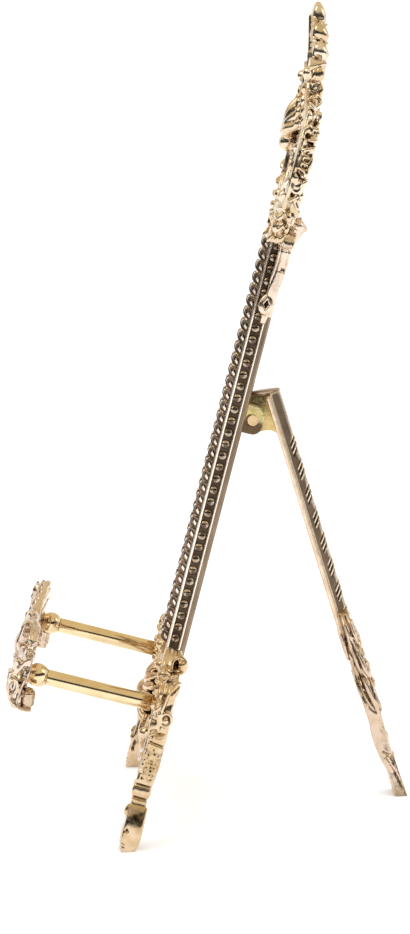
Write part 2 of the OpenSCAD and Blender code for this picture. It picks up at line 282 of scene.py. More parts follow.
    def block(self, low, high, round_off=0.6):
        """Box with its edges taken off, between two corners."""
        low, high = np.array(low, float), np.array(high, float)
        centre, half = (low + high) / 2, (high - low) / 2
        rings = []
        r = round_off
        for level, inset in ((-1, r), (-1, 0), (1, 0), (1, r)):
            z = centre[2] + level * half[2] + (-level * r if inset == 0 else 0)
            x, y = half[0] - inset, half[1] - inset
            rings.append([[centre[0] + a, centre[1] + b, z] for a, b in (
                (x, y - r), (x - r, y), (-x + r, y), (-x, y - r),
                (-x, -y + r), (-x + r, -y), (x - r, -y), (x, -y + r))])
        self.rings(rings, [[centre[0], centre[1], low[2]], [centre[0], centre[1], high[2]]])

    def lobes(self, path, count, size, side=1, reach=0.6, lean=50, mid=0.0, start=0.0, end=1.0):
        """Leaf lobes along one side of a path, each leaning forward along it."""
        step = np.gradient(path, axis=0)
        for i in range(count):
            t = start + (end - start) * (i + 0.5) / count
            k = t * (len(path) - 1)
            j = min(int(k), len(path) - 2)
            point = path[j] + (path[j + 1] - path[j]) * (k - j)
            angle = math.degrees(math.atan2(step[j][1], step[j][0])) + side * lean
            big = 0.6 + 0.4 * math.sin(math.pi * (i + 0.5) / count)
            out = np.array([math.cos(math.radians(angle)), math.sin(math.radians(angle))])
            place = point + out * size[0] * reach * big
            self.blob([place[0], mid, place[1]], [size[0] * big, size[1] * big, size[2] * big], angle, 0.45)

    def to_side(self, side):
        """Moves shapes made on the right to a side: -1 is the left, 1 the right."""
        self.points = [p * [side, 1, 1] for p in self.points]

    def mirrored(self):
        """Adds the mirror image of everything so far, for a piece that is symmetric."""
        points = np.vstack(self.points) * [-1, 1, 1]
        faces = [[i + self.count for i in reversed(f)] for f in self.faces]
        self.points.append(points)
        self.faces += faces
        self.count *= 2


# ---- from a mould to a piece ------------------------------------------------

def neighbours_mean(points, edges):
    """Mean of each point's neighbours."""
    total = np.zeros_like(points)
    n = len(points)
    for axis in range(3):
        total[:, axis] = np.bincount(edges[:, 0], points[edges[:, 1], axis], n) \
            + np.bincount(edges[:, 1], points[edges[:, 0], axis], n)
    degree = np.bincount(edges.ravel(), minlength=n)
    return total / np.maximum(degree, 1)[:, None]


def read_values(items, name, width, kind=float):
    values = np.zeros(len(items) * width, kind)
    items.foreach_get(name, values)
    return values.reshape(-1, width)


def read_points(mesh):
    return read_values(mesh.vertices, "co", 3)


def write_points(mesh, points):
    mesh.vertices.foreach_set("co", points.ravel())
    mesh.update()


def read_edges(mesh):
    return read_values(mesh.edges, "vertices", 2, np.int64)


def read_normals(mesh):
    return read_values(mesh.vertices, "normal", 3)


def relax(mesh, rounds):
    """Softens a mesh without shrinking it."""
    points, edges = read_points(mesh), read_edges(mesh)
    for _ in range(rounds):
        for weight in (0.55, -0.57):
            points = points + weight * (neighbours_mean(points, edges) - points)
    write_points(mesh, points)


def store(mesh, name, values):
    mesh.attributes.new(name, "FLOAT", "POINT").data.foreach_set("value", values.astype(np.float32))


def mark_recesses(mesh, painted=None, fine=7, broad=34):
    """Stores how deep each point lies in a hollow, from 0, open, to 1, where it gets patina and painted shade, and
    how sharp a ridge it is on, where it can get a painted highlight.
    """
    points, edges, normals = read_points(mesh), read_edges(mesh), read_normals(mesh)
    smooth = points
    depth = np.zeros(len(points))
    for i in range(broad):
        smooth = smooth + 0.6 * (neighbours_mean(smooth, edges) - smooth)
        if i in (fine - 1, broad - 1):
            part = np.einsum("ij,ij->i", smooth - points, normals)
            depth += 0.5 * part / max(np.percentile(np.abs(part), 88), 1e-6)
    ridge_highlight = np.clip(-depth, 0, 1)
    if painted is not None:
        depth = np.maximum(depth, painted)
    # depth of the hollows: patina together with painted shade
    store(mesh, "patina_and_shade", np.clip(depth, 0, 1))
    store(mesh, "ridge_highlight", ridge_highlight)


def roughen(mesh, size, amount, seed=0.0):
    """Gives a casting its slight waviness."""
    points, normals = read_points(mesh), read_normals(mesh)
    away = Vector((seed, 0, 0))
    shift = amount * np.array([noise.noise(Vector(p) / size + away) for p in points])
    write_points(mesh, points + normals * shift[:, None])


def facing_out(normals):
    """1 on the side faces, 0 on what looks forward, back, up or down."""
    return np.clip(2 * np.abs(normals[:, 0]) - 0.3, 0, 1)


def near(distance, width):
    """1 where a distance is nothing, falling to 0 at a width."""
    return np.clip(1 - np.abs(distance) / width, 0, 1)


def between(values, low, high, fade=1.0):
    """Rises from 0 to 1 just above the low end and falls back to 0 at the high end."""
    return np.clip((values - low) / fade, 0, 1) * np.clip((high - values) / fade, 0, 1)


def pits(places):
    """Carving function that sinks oval pits, each (n, u, radius_n, radius_u, depth), into the outer sides."""
    def carve(points, normals):
        sink = np.zeros(len(points))
        facing = facing_out(normals)
        for n, u, radius_n, radius_u, depth in places:
            d = np.hypot((points[:, 1] - n) / radius_n, (points[:, 2] - u) / radius_u)
            sink += depth * np.clip(1.6 - 1.6 * d, 0, 1) * facing
        return -sink
    return carve


def evaluated(ob):
    """Applies an object's modifiers to its mesh."""
    graph = bpy.context.evaluated_depsgraph_get()
    made = bpy.data.meshes.new_from_object(ob.evaluated_get(graph))
    old = ob.data
    ob.modifiers.clear()
    ob.data = made
    bpy.data.meshes.remove(old)


def tidy_normals(mesh):
    """Turns all faces outward."""
    work = bmesh.new()
    work.from_mesh(mesh)
    bmesh.ops.recalc_face_normals(work, faces=work.faces)
    work.to_mesh(mesh)
    work.free()


def new_object(name, points, faces):
    mesh = bpy.data.meshes.new(name)
    mesh.from_pydata([list(p) for p in points], [], faces)
    ob = bpy.data.objects.new(name, mesh)
    bpy.context.scene.collection.objects.link(ob)
    return ob


def cut_flat(mesh, point, normal):
    """Cuts away what lies beyond a plane and closes the cut."""
    work = bmesh.new()
    work.from_mesh(mesh)
    found = bmesh.ops.bisect_plane(
        work, geom=work.verts[:] + work.edges[:] + work.faces[:], dist=1e-6,
        plane_co=point, plane_no=normal, clear_outer=True)
    rim = [g for g in found["geom_cut"] if isinstance(g, bmesh.types.BMEdge)]
    bmesh.ops.holes_fill(work, edges=rim, sides=0)
    bmesh.ops.triangulate(work, faces=[f for f in work.faces if len(f.verts) > 4])
    bmesh.ops.recalc_face_normals(work, faces=work.faces)
    work.to_mesh(mesh)
    work.free()


def finish_piece(ob, place, material, body, nodes):
    """Puts a piece in its place, gives it its material, hangs it on its body and hides the CAD parts that it
    stands for.
    """
    ob.data.transform(place @ Matrix.Scale(MM, 4))
    ob.data.polygons.foreach_set("use_smooth", [True] * len(ob.data.polygons))
    ob.data.materials.clear()
    ob.data.materials.append(material)
    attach(ob, body)
    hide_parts(*nodes)


def cast(name, mould, nodes, material, place=FRAME_PLACE, body="frame",
         voxel=0.36, rounds=2, wave=0.16, seed=0.0, ground=False, holes=(), carve=None, paint=None):
    """Melts a mould's shapes into one casting.

    carve(points, normals) gives how far each point rises, paint(points) where it is darkened by painted shade or
    brown patches.
    """
    ob = new_object(name, np.vstack(mould.points), mould.faces)
    remesh = ob.modifiers.new("melt", "REMESH")
    remesh.mode = "VOXEL"
    remesh.voxel_size = voxel
    evaluated(ob)
    relax(ob.data, rounds)
    if wave:
        roughen(ob.data, 2.6, wave, seed)
    if carve is not None:
        points, normals = read_points(ob.data), read_normals(ob.data)
        write_points(ob.data, points + normals * carve(points, normals)[:, None])
    mark_recesses(ob.data, None if paint is None else paint(read_points(ob.data)))
    for hole in holes:
        drill(ob, *hole)
    if ground:
        down = place.to_3x3().inverted() @ Vector((0, 0, -1))
        foot = (place.inverted() @ Vector((0, 0, 0))) / MM
        cut_flat(ob.data, foot, down)
    finish_piece(ob, place, material, body, nodes)


def circle(centre, n, radius, segments):
    """Points of a circle about an axis along n."""
    return [[centre[0] + radius * math.cos(a), n, centre[1] + radius * math.sin(a)]
            for a in [math.tau * i / segments for i in range(segments)]]


def drill(ob, centre, n0, n1, radius):
    """Drills a round hole along n."""
    mould = Mould()
    mould.rings([circle(centre, n, radius, 40) for n in (n0, n1)],
                [[centre[0], n0, centre[1]], [centre[0], n1, centre[1]]])
    tool = new_object("drill", np.vstack(mould.points), mould.faces)
    tidy_normals(tool.data)
    boolean = ob.modifiers.new("cut", "BOOLEAN")
    boolean.object = tool
    boolean.operation = "DIFFERENCE"
    boolean.solver = "EXACT"
    bpy.context.view_layer.update()
    evaluated(ob)
    bpy.data.objects.remove(tool)


def turned(name, profile, centre, nodes, material):
    """Lathe work about an axis along n: profile rows are (n, radius) from front to back."""
    mould = Mould()
    mould.rings([circle(centre, n, r, 72) for n, r in profile],
                [[centre[0], profile[0][0], centre[1]], [centre[0], profile[-1][0], centre[1]]])
    ob = new_object(name, np.vstack(mould.points), mould.faces)
    tidy_normals(ob.data)
    finish_piece(ob, FRAME_PLACE, material, "frame", nodes)


# ---- materials --------------------------------------------------------------

def add_node(tree, kind, **values):
    """New node, with the values of its inputs; an underscore stands for a space in a name."""
    made = tree.nodes.new("ShaderNode" + kind)
    for name, value in values.items():
        made.inputs[name.replace("_", " ")].default_value = value
    return made


def ramp(tree, socket, low, high, start=0.0, end=1.0, smooth=True):
    """Socket that runs from start to end while another runs from low to high."""
    made = add_node(tree, "MapRange", From_Min=low, From_Max=high, To_Min=start, To_Max=end)
    if smooth:
        made.interpolation_type = "SMOOTHSTEP"
    tree.links.new(socket, made.inputs["Value"])
    return made.outputs["Result"]


def combine(tree, operation, a, b):
    made = add_node(tree, "Math")
    made.operation = operation
    tree.links.new(a, made.inputs[0])
    tree.links.new(b, made.inputs[1])
    return made.outputs["Value"]


def mix_colours(tree, factor, a, b):
    mix = add_node(tree, "Mix")
    mix.data_type = "RGBA"
    tree.links.new(factor, mix.inputs["Factor"])
    for value, name in ((a, "A"), (b, "B")):
        target = [s for s in mix.inputs if s.name == name and s.type == "RGBA"][0]
        if isinstance(value, tuple):
            target.default_value = (*value, 1)
        else:
            tree.links.new(value, target)
    return [s for s in mix.outputs if s.type == "RGBA"][0]


def stored_value(tree, name):
    """Socket of a value that is stored at each point of a mesh."""
    made = add_node(tree, "Attribute")
    made.attribute_name = name
    return made.outputs["Fac"]


LENGTHWISE = (1, 1, 0.05)        # brushed along the bar
HOLLOWS = (0.38, 1.0)            # how deep a hollow is where patina and painted shade set in and where they are full


def brass(name, polished, warm, patina_and_shade_colour, rough, grain=0.0, patina_and_shade=(0.25, 0.75), brushed=None, painted_highlight=None):
    """Brass in polished and warmer patches, with dark hollows of patina and painted shade, painted highlights on
    its high places where given, and a fine cast grain.
    """
    material = bpy.data.materials.new(name)
    material.use_nodes = True
    tree = material.node_tree
    link = tree.links.new
    shader = tree.nodes["Principled BSDF"]
    shader.inputs["Metallic"].default_value = 1.0
    place = add_node(tree, "TexCoord").outputs["Object"]
    patches = add_node(tree, "TexNoise", Scale=130.0, Detail=3.0)
    link(place, patches.inputs["Vector"])
    colour = mix_colours(tree, ramp(tree, patches.outputs["Fac"], 0.4, 0.62, smooth=False), polished, warm)
    # hollows and painted marks darken: patina together with painted shade
    colour = mix_colours(tree, ramp(tree, stored_value(tree, "patina_and_shade"), *patina_and_shade), colour, patina_and_shade_colour)
    # painted highlight on the ridges
    if painted_highlight:
        ridge_highlight = ramp(tree, stored_value(tree, "ridge_highlight"), 0.25, 0.8, smooth=False)
        colour = mix_colours(tree, ridge_highlight, colour, painted_highlight)
    link(colour, shader.inputs["Base Color"])
    fine = add_node(tree, "TexNoise", Scale=900.0, Detail=4.0)
    if brushed:
        stretch = add_node(tree, "Mapping", Scale=brushed)
        link(place, stretch.inputs["Vector"])
        place = stretch.outputs["Vector"]
    link(place, fine.inputs["Vector"])
    link(ramp(tree, fine.outputs["Fac"], 0.3, 0.7, *rough, smooth=False), shader.inputs["Roughness"])
    if grain:
        bump = add_node(tree, "Bump", Strength=grain, Distance=0.0001)
        link(fine.outputs["Fac"], bump.inputs["Height"])
        link(bump.outputs["Normal"], shader.inputs["Normal"])
    return material


CAST = brass("cast_brass", (0.82, 0.70, 0.56), (0.66, 0.51, 0.33), (0.09, 0.055, 0.03), (0.1, 0.24), 0.12,
             HOLLOWS)
FOOT = brass("foot_brass", (0.725, 0.56, 0.385), (0.58, 0.41, 0.22), (0.09, 0.055, 0.025), (0.12, 0.28), 0.12,
             HOLLOWS)
LEAF = brass("pale_cast_brass", (0.76, 0.62, 0.50), (0.58, 0.44, 0.31), (0.09, 0.055, 0.03), (0.14, 0.3), 0.1,
             HOLLOWS)
SCROLL = brass("scroll_brass", (0.69, 0.54, 0.42), (0.54, 0.41, 0.27), (0.12, 0.075, 0.04), (0.14, 0.3), 0.1,
               HOLLOWS)
# Beads: the dark faces are painted shade, and their rims and buttons get painted highlights
BEAD = brass("bead_brass", (0.22, 0.15, 0.11), (0.13, 0.09, 0.06), (0.04, 0.025, 0.015), (0.12, 0.25), 0.2,
             (0.2, 0.7), painted_highlight=(1.0, 0.88, 0.74))
PEARL = brass("pearl_brass", (0.50, 0.42, 0.32), (0.38, 0.31, 0.23), (0.13, 0.095, 0.07), (0.1, 0.22), 0.2,
              (0.0, 1.0))
SATIN = brass("satin_brass", (0.32, 0.24, 0.17), (0.26, 0.19, 0.13), (0.03, 0.02, 0.01), (0.26, 0.42),
              0.3, brushed=LENGTHWISE)
FLANGE = brass("flange_brass", (0.95, 0.77, 0.58), (0.80, 0.62, 0.44), (0.1, 0.07, 0.04), (0.3, 0.42),
               0.25, brushed=LENGTHWISE)
CAP = brass("cap_brass", (0.50, 0.37, 0.29), (0.40, 0.29, 0.21), (0.1, 0.07, 0.04), (0.3, 0.42), 0.25)
# Beam: the ridges between its cuts get painted highlights
BEAM = brass("beam_brass", (0.20, 0.145, 0.10), (0.15, 0.105, 0.07), (0.03, 0.02, 0.01), (0.24, 0.4), 0.3,
             brushed=LENGTHWISE, painted_highlight=(0.9, 0.76, 0.58))
# Rails: near-white brass that paints the highlight along their edges
EDGE = brass("edge_brass", (0.98, 0.88, 0.76), (0.94, 0.82, 0.68), (0.2, 0.14, 0.08), (0.2, 0.35))
# Near-black sheet on the channel floor: painted shade in the channel
CHANNEL = brass("channel_brass", (0.13, 0.09, 0.065), (0.09, 0.06, 0.04), (0.03, 0.02, 0.01), (0.35, 0.6),
                0.3)
HINGE = brass("hinge_brass", (0.80, 0.64, 0.24), (0.62, 0.50, 0.26), (0.14, 0.09, 0.05), (0.16, 0.3), 0.25)
# Tongue: darker than the ears, painted shade where it sits between them
TONGUE = brass("tongue_brass", (0.62, 0.47, 0.20), (0.46, 0.34, 0.15), (0.12, 0.08, 0.05), (0.2, 0.34), 0.25)
PIN = brass("pin_brass", (0.86, 0.62, 0.34), (0.78, 0.54, 0.28), (0.2, 0.12, 0.05), (0.2, 0.3), 0.15)
TURNED = brass("turned_brass", (0.82, 0.66, 0.41), (0.77, 0.59, 0.34), (0.3, 0.2, 0.08), (0.09, 0.17),
               0.12, brushed=(0.2, 0.02, 0.2))
PLAIN = brass("plain_brass", (0.70, 0.54, 0.29), (0.62, 0.46, 0.22), (0.2, 0.13, 0.06), (0.2, 0.32), 0.15)


# ---- camera, floor and light ------------------------------------------------

def set_camera():
    """Stands the camera off the right side, a little above, with a slight roll."""
    azimuth, elevation, roll = math.radians(89.65), math.radians(7.75), math.radians(2.38)
    ahead = Vector((-math.sin(azimuth) * math.cos(elevation), math.cos(azimuth) * math.cos(elevation),
                    -math.sin(elevation)))
    right = Vector((math.cos(azimuth), math.sin(azimuth), 0))
    down = ahead.cross(right)
    across = right * math.cos(roll) + down * math.sin(roll)
    up = right * math.sin(roll) - down * math.cos(roll)
    camera = bpy.data.cameras.new("camera")
    camera.sensor_width = 36
    camera.lens = 92.5
    ob = bpy.data.objects.new("camera", camera)
    bpy.context.scene.collection.objects.link(ob)
    matrix = Matrix((across, up, -ahead)).transposed().to_4x4()
    matrix.translation = (0.7606, -0.00125, 0.2132)
    ob.matrix_world = matrix
    bpy.context.scene.camera = ob


def area_light(name, place, power):
    """Square soft light, aimed at the lower half of the stand."""
    light = bpy.data.lights.new(name, "AREA")
    light.shape = "RECTANGLE"
    light.size = light.size_y = 0.5
    light.energy = power
    ob = bpy.data.objects.new(name, light)
    bpy.context.scene.collection.objects.link(ob)
    ob.location = place
    ob.rotation_euler = (Vector((0, 0, 0.1)) - Vector(place)).to_track_quat("-Z", "Y").to_euler()


FLOOR_GLOW = 1.3                 # the floor is lit a little past white, as in a light tent
WARM_CEILING = (0.78, 0.66, 0.44)


def set_world():
    """White all round, but glossy metal also sees a dim room behind the camera, under a bright ceiling."""
    world = bpy.data.worlds.new("studio")
    bpy.context.scene.world = world
    world.use_nodes = True
    tree = world.node_tree
    background = tree.nodes["Background"]
    parts = add_node(tree, "SeparateXYZ")
    tree.links.new(add_node(tree, "TexCoord").outputs["Generated"], parts.inputs["Vector"])
    glossy = add_node(tree, "LightPath").outputs["Is Glossy Ray"]
    x, y, z = (parts.outputs[axis] for axis in "XYZ")
    room = combine(tree, "MULTIPLY", ramp(tree, x, 0.12, 0.42), ramp(tree, z, 0.32, 0.52, 1.0, 0.0))
    dark = combine(tree, "MAXIMUM", room, ramp(tree, y, -0.93, -0.8, 0.85, 0.0))
    seen = add_node(tree, "Mix", A=FLOOR_GLOW)
    tree.links.new(glossy, seen.inputs["Factor"])
    tree.links.new(ramp(tree, dark, 0.0, 1.0, 1.05, 0.03), seen.inputs["B"])
    tree.links.new(seen.outputs["Result"], background.inputs["Strength"])
    warm = combine(tree, "MULTIPLY", ramp(tree, z, 0.3, 0.6), glossy)
    tree.links.new(mix_colours(tree, warm, (1.0, 1.0, 1.0), WARM_CEILING), background.inputs["Color"])
    bpy.context.scene.view_settings.view_transform = "Standard"


FLOOR_HALF = 1.8                 # half the floor's width, enough to fill what the metal reflects


def set_floor():
    """Matt white floor."""
    material = bpy.data.materials.new("white_floor")
    material.use_nodes = True
    shader = material.node_tree.nodes["Principled BSDF"]
    shader.inputs["Base Color"].default_value = (1, 1, 1, 1)
    shader.inputs["Roughness"].default_value = 0.9
    shader.inputs["Specular IOR Level"].default_value = 0.0
    corners = [(x * FLOOR_HALF, y * FLOOR_HALF, 0) for x, y in ((-1, -1), (1, -1), (1, 1), (-1, 1))]
    floor = new_object("floor", corners, [[0, 1, 2, 3]])
    floor.data.materials.append(material)


set_camera()
set_world()
set_floor()
area_light("key", (0.25, -0.7, 1.1), 1.6)
area_light("fill", (0.3, 0.9, 0.7), 1.0)


# ---- post -------------------------------------------------------------------

POST_FOOT, POST_TOP = 50.0, 192.0
HALF_W = 6.5
FACE_N, BACK_N = -1.8, 4.0
RIDGE = (-2.5, -1.5)             # the bright rail along the front edge
CHANNEL_BACK = 1.7
CHANNEL_X = 5.6
PITCH = 3.8
HUSK_PITCH = 5.4
PEARLS = np.arange(58.0, 188.1, PITCH)


def extrude(name, section, u0, u1, material, soften):
    """Bar of one section along u, with its long edges rounded, for the post."""
    k = len(section)
    points = [[x, n, u] for u in (u0, u1) for x, n in section]
    faces = [[j, (j + 1) % k, (j + 1) % k + k, j + k] for j in range(k)]
    faces.append(list(range(k - 1, -1, -1)))
    faces.append(list(range(k, 2 * k)))
    ob = new_object(name, points, faces)
    bevel = ob.modifiers.new("soft_edges", "BEVEL")
    bevel.width = soften
    bevel.segments = 3
    bevel.limit_method = "ANGLE"
    bevel.angle_limit = math.radians(30)
    evaluated(ob)
    store(ob.data, "patina_and_shade", np.zeros(len(ob.data.vertices)))
    finish_piece(ob, FRAME_PLACE, material, "frame", ["post"])
    sharp = ob.modifiers.new("true_faces", "WEIGHTED_NORMAL")
    sharp.keep_sharp = True


def mirror_section(right):
    return right + [(-x, n) for x, n in reversed(right)]


def build_post():
    body = mirror_section([
        (CHANNEL_X, -1.7), (CHANNEL_X, CHANNEL_BACK + 0.2), (HALF_W - 0.3, CHANNEL_BACK + 0.5),
        (HALF_W - 0.3, BACK_N - 0.5), (HALF_W - 1.0, BACK_N)])
    extrude("post_body", body, POST_FOOT, POST_TOP, SATIN, 0.2)
    for side, word in SIDES:
        # dark sheet on the channel floor, painted shade
        floor_n = (-1.6, CHANNEL_BACK + 0.3)
        channel = [(side * x, n) for x, n in (
            (CHANNEL_X - 0.5, floor_n[0]), (CHANNEL_X + 0.04, floor_n[0]),
            (CHANNEL_X + 0.04, floor_n[1]), (CHANNEL_X - 0.5, floor_n[1]))]
        extrude(word + "_channel", channel, POST_FOOT + 0.3, POST_TOP - 0.3, CHANNEL, 0.01)
        for end, (n0, n1) in (("front", RIDGE), ("back", (CHANNEL_BACK - 0.15, CHANNEL_BACK + 0.55))):
            rail = [(side * x, n) for x, n in (
                (CHANNEL_X - 0.6, n0), (HALF_W - 0.15, n0), (HALF_W, (n0 + n1) / 2),
                (HALF_W - 0.15, n1), (CHANNEL_X - 0.6, n1))]
            extrude(word + "_" + end + "_rail", rail, POST_FOOT + 0.2, POST_TOP - 0.2, EDGE, 0.14)


build_post()


def build_husks():
    """Reed down the middle of the post's front, with a chain of bell-shaped husks hung on it."""
    mould = Mould()
    reed = upright(POST_FOOT + 1, POST_TOP - 1, 60)
    mould.ribbon(reed, constant(4.2), constant(3.0), constant(FACE_N), ROUND, 0.0)
    for side in (-1, 1):
        mould.ribbon(reed + [side * 2.45, 0], constant(0.8), constant(1.4), constant(FACE_N), ROUND, 0.0)
    for u in np.arange(60.0, 188.0, HUSK_PITCH):
        for turn in (-26, 0, 26):
            tip = [1.3 * math.sin(math.radians(turn)), FACE_N - 1.5, u - 1.6 * math.cos(math.radians(turn))]
            mould.blob(tip, [2.1, 0.75, 0.9], turn - 90, 0.4)
        mould.blob([0, FACE_N - 1.7, u + 1.2], [0.9, 0.9, 0.9])
    cast("post_husk_chain", mould, ["post"], CAST, voxel=0.26, rounds=1, wave=0.03, seed=5)


build_husks()


def side_pearl(mould, side, u):
    """Round pearl lying in a side channel."""
    rings = []
    for i in range(1, 12):
        a = math.pi * i / 12
        r = 1.5 * math.sin(a)
        rings.append([[side * (CHANNEL_X - 1.2 * math.cos(a)), -0.1 + r * math.cos(b), u + r * math.sin(b)]
                      for b in [math.tau * j / 28 for j in range(28)]])
    mould.rings(rings, [[side * (CHANNEL_X - 1.2), -0.1, u], [side * (CHANNEL_X + 1.2), -0.1, u]])


def build_side_pearls():
    for side, word in SIDES:
        mould = Mould()
        dark = []
        for u in PEARLS:
            side_pearl(mould, side, u)
            # each pearl gets a painted dark reflection, a little off its middle
            off = Vector((1, 0.35 * math.cos(2.4 * u), 0.35 * math.sin(2.4 * u))).normalized()
            shift = (mould.points[-1] - [side * CHANNEL_X, -0.1, u]) / 1.5
            towards = shift @ np.array([side * off.x, off.y, off.z])
            dark += list(np.clip((towards - 0.62) / 0.1, 0, 1))
        ob = new_object(word + "_side_pearls", np.vstack(mould.points), mould.faces)
        tidy_normals(ob.data)
        store(ob.data, "patina_and_shade", np.array(dark))
        finish_piece(ob, FRAME_PLACE, PEARL, "frame", ["post"])


STRIP_X = 4.3                    # middle of a bead strip, off the post's middle
BEAD_N, BEAD_U, BEAD_SLANT = 1.55, 1.72, -0.55
BEAD_PROFILE = (                 # (share of the half width, share of the size there, how strong its painted highlight is)
    (-1.04, 0.14, 0.9), (-1.02, 0.34, 0.5), (-0.9, 0.5, 0), (-0.9, 0.7, 0),
    (-0.98, 0.84, 0.1), (-0.9, 0.95, 1), (-0.72, 1.0, 0.5), (-0.45, 1.0, 0.2),
    (0.45, 1.0, 0.2), (0.72, 1.0, 0.5), (0.9, 0.95, 1), (0.98, 0.84, 0.1),
    (0.9, 0.7, 0), (0.9, 0.5, 0), (1.02, 0.34, 0.5), (1.04, 0.14, 0.9))


def square_round(a, power=0.6):
    """A point of a rounded square, by its angle."""
    c, s = math.cos(a), math.sin(a)
    return math.copysign(abs(c) ** power, c), math.copysign(abs(s) ** power, s)


def build_pearl_strips():
    """Front beading: squarish slanted beads set close on a strip, each with a button on its side, with painted
    highlights on their upper rims and buttons.
    """
    half_wide, middle_n = 1.6, -3.35
    for side, word in SIDES:
        mould = Mould()
        painted_highlight = []
        x = side * STRIP_X
        for u in PEARLS:
            rings = []
            corners = [square_round(math.tau * j / 28) for j in range(28)]
            for wide, big, glint in BEAD_PROFILE:
                rings.append([[x + half_wide * wide, middle_n + BEAD_N * big * c,
                               u + BEAD_U * big * s + BEAD_SLANT * c] for c, s in corners])
                # painted highlights: full on the upper side of each bead and on its button, faint below
                painted_highlight += [glint if s > -0.2 or big < 0.4 else 0.2 * glint for c, s in corners]
            mould.rings(rings, [[x - half_wide * 1.03, middle_n, u], [x + half_wide * 1.03, middle_n, u]])
            painted_highlight += [0.5, 0.5]
        mould.block([x - 1.6, -2.6, PEARLS[0] - 2.2], [x + 1.6, -1.9, PEARLS[-1] + 2.2], 0.15)
        ob = new_object(word + "_front_pearls", np.vstack(mould.points), mould.faces)
        tidy_normals(ob.data)
        painted_highlight += [0] * (len(ob.data.vertices) - len(painted_highlight))
        store(ob.data, "ridge_highlight", np.array(painted_highlight))
        store(ob.data, "patina_and_shade", np.zeros(len(painted_highlight)))
        finish_piece(ob, FRAME_PLACE, BEAD, "frame", [word + "_pearl_strip"])


build_side_pearls()
build_pearl_strips()


# ---- crest ------------------------------------------------------------------

CREST_TILT, CREST_TILT_U = math.tan(math.radians(8)), 226.0
FINIAL_TILT, FINIAL_U = math.tan(math.radians(6)), 246.0


def crest_bow(x, u):
    """The crest bends forward towards its top."""
    return -CREST_TILT * np.maximum(u - CREST_TILT_U, 0) - FINIAL_TILT * np.maximum(u - FINIAL_U, 0)


def edge_line(path, width):
    """Points along the right-hand edge of a ribbon of the given width."""
    return path - sideways(directions(path)) * width / 2


def dress_crest_side(mould):
    """Leaf work on the outer side of the crest, from its foot up."""
    edge = mould.side_profile()
    for start, end in (((-1.4, 197.6), (1.2, 200.4)), ((1.9, 197.2), (-0.8, 201.6)),
                       ((2.2, 200.2), (-0.2, 203.8)), ((-1.2, 202.0), (0.6, 203.6)),
                       ((2.4, 203.0), (1.2, 206.0))):
        mould.bar(edge(start[1]) + 0.1, start, end, 0.6)
    mould.hoop(edge(206.6) + 0.4, (0.2, 206.8), (1.3, 1.9), -12)
    mould.boss([edge(206.6) - 0.3, 0.2, 206.8], [1.2, 0.8, 0.8], 78)
    for n, u, turn in ((2.0, 208.6, 60), (-0.9, 209.4, 110), (2.1, 204.6, 100), (1.7, 211.4, 80)):
        mould.boss([edge(u), n, u], [1.5, 0.8, 0.8], turn, 0.3)
    x = edge(214.4) + 0.2
    mould.bar(x, (-0.9, 212.2), (-0.4, 216.8), 0.6)
    for u in (212.4, 214.4, 216.4):
        mould.bar(x, (-0.6, u), (1.1, u - 0.5), 0.55)
    mould.boss([edge(214), 2.1, 214.0], [2.8, 0.7, 0.7], 86)
    mould.boss([edge(218.6), 0.4, 218.4], [2.2, 0.8, 0.9], 25)
    mould.boss([edge(221.0), 1.2, 221.4], [1.9, 0.7, 0.9], 10)
    mould.boss([edge(220.0), -0.6, 220.2], [1.7, 0.6, 0.8], 96)
    for i in range(6):
        a = math.tau * i / 6
        mould.boss([edge(223.4), 1.2 + 1.1 * math.cos(a), 223.8 + 1.2 * math.sin(a)], [0.75, 0.75, 0.8])
    mould.boss([edge(224), -0.9, 224.6], [1.7, 0.9, 0.9], 80, 0.3)
    mould.boss([edge(228), -1.0, 228.6], [1.7, 0.9, 0.9], 100, 0.3)
    for n in (1.5, 2.3):
        mould.boss([edge(228), n, 228.4], [2.2, 0.5, 0.8], 88)
    for n, u, long, wide, turn in ((-0.5, 231.4, 1.7, 0.7, 130), (1.1, 231.8, 2.2, 0.8, 48),
                                   (-0.4, 234.2, 1.7, 0.7, 40), (1.6, 234.4, 2.0, 0.8, 125),
                                   (0.4, 233.2, 0.9, 0.9, 0)):
        mould.boss([edge(u), n, u], [long, wide, 0.9], turn, 0.3)
    mould.hoop(edge(237.6) + 0.3, (0.3, 237.6), (1.4, 2.0), -35)
    mould.boss([edge(237.6) - 0.4, 0.3, 237.6], [1.3, 0.8, 0.8], 55)
    mould.boss([edge(237), 2.1, 236.6], [1.9, 0.8, 0.8], 80)
    mould.boss([edge(241), 1.0, 241.4], [2.3, 1.5, 1.0], 84)
    mould.boss([edge(241), -0.9, 240.8], [2.0, 0.6, 0.8], 80)
    mould.bar(edge(244), (-2.2, 243.0), (2.6, 245.2), 0.7)
    # three cushions up the leaf on top
    for u, tall, deep in ((248.4, 2.9, 2.7), (253.9, 3.0, 2.75), (259.4, 3.6, 2.4)):
        mould.boss([edge(u) - 0.9, 1.05, u], [tall, deep, 2.3], 90, 0.1)
    for u in (251.1, 256.7):
        for i in range(5):
            mould.boss([edge(u) + 0.2, -0.9 + i, u + 0.3 * (-1) ** i], [0.6, 0.5, 0.7], 40)


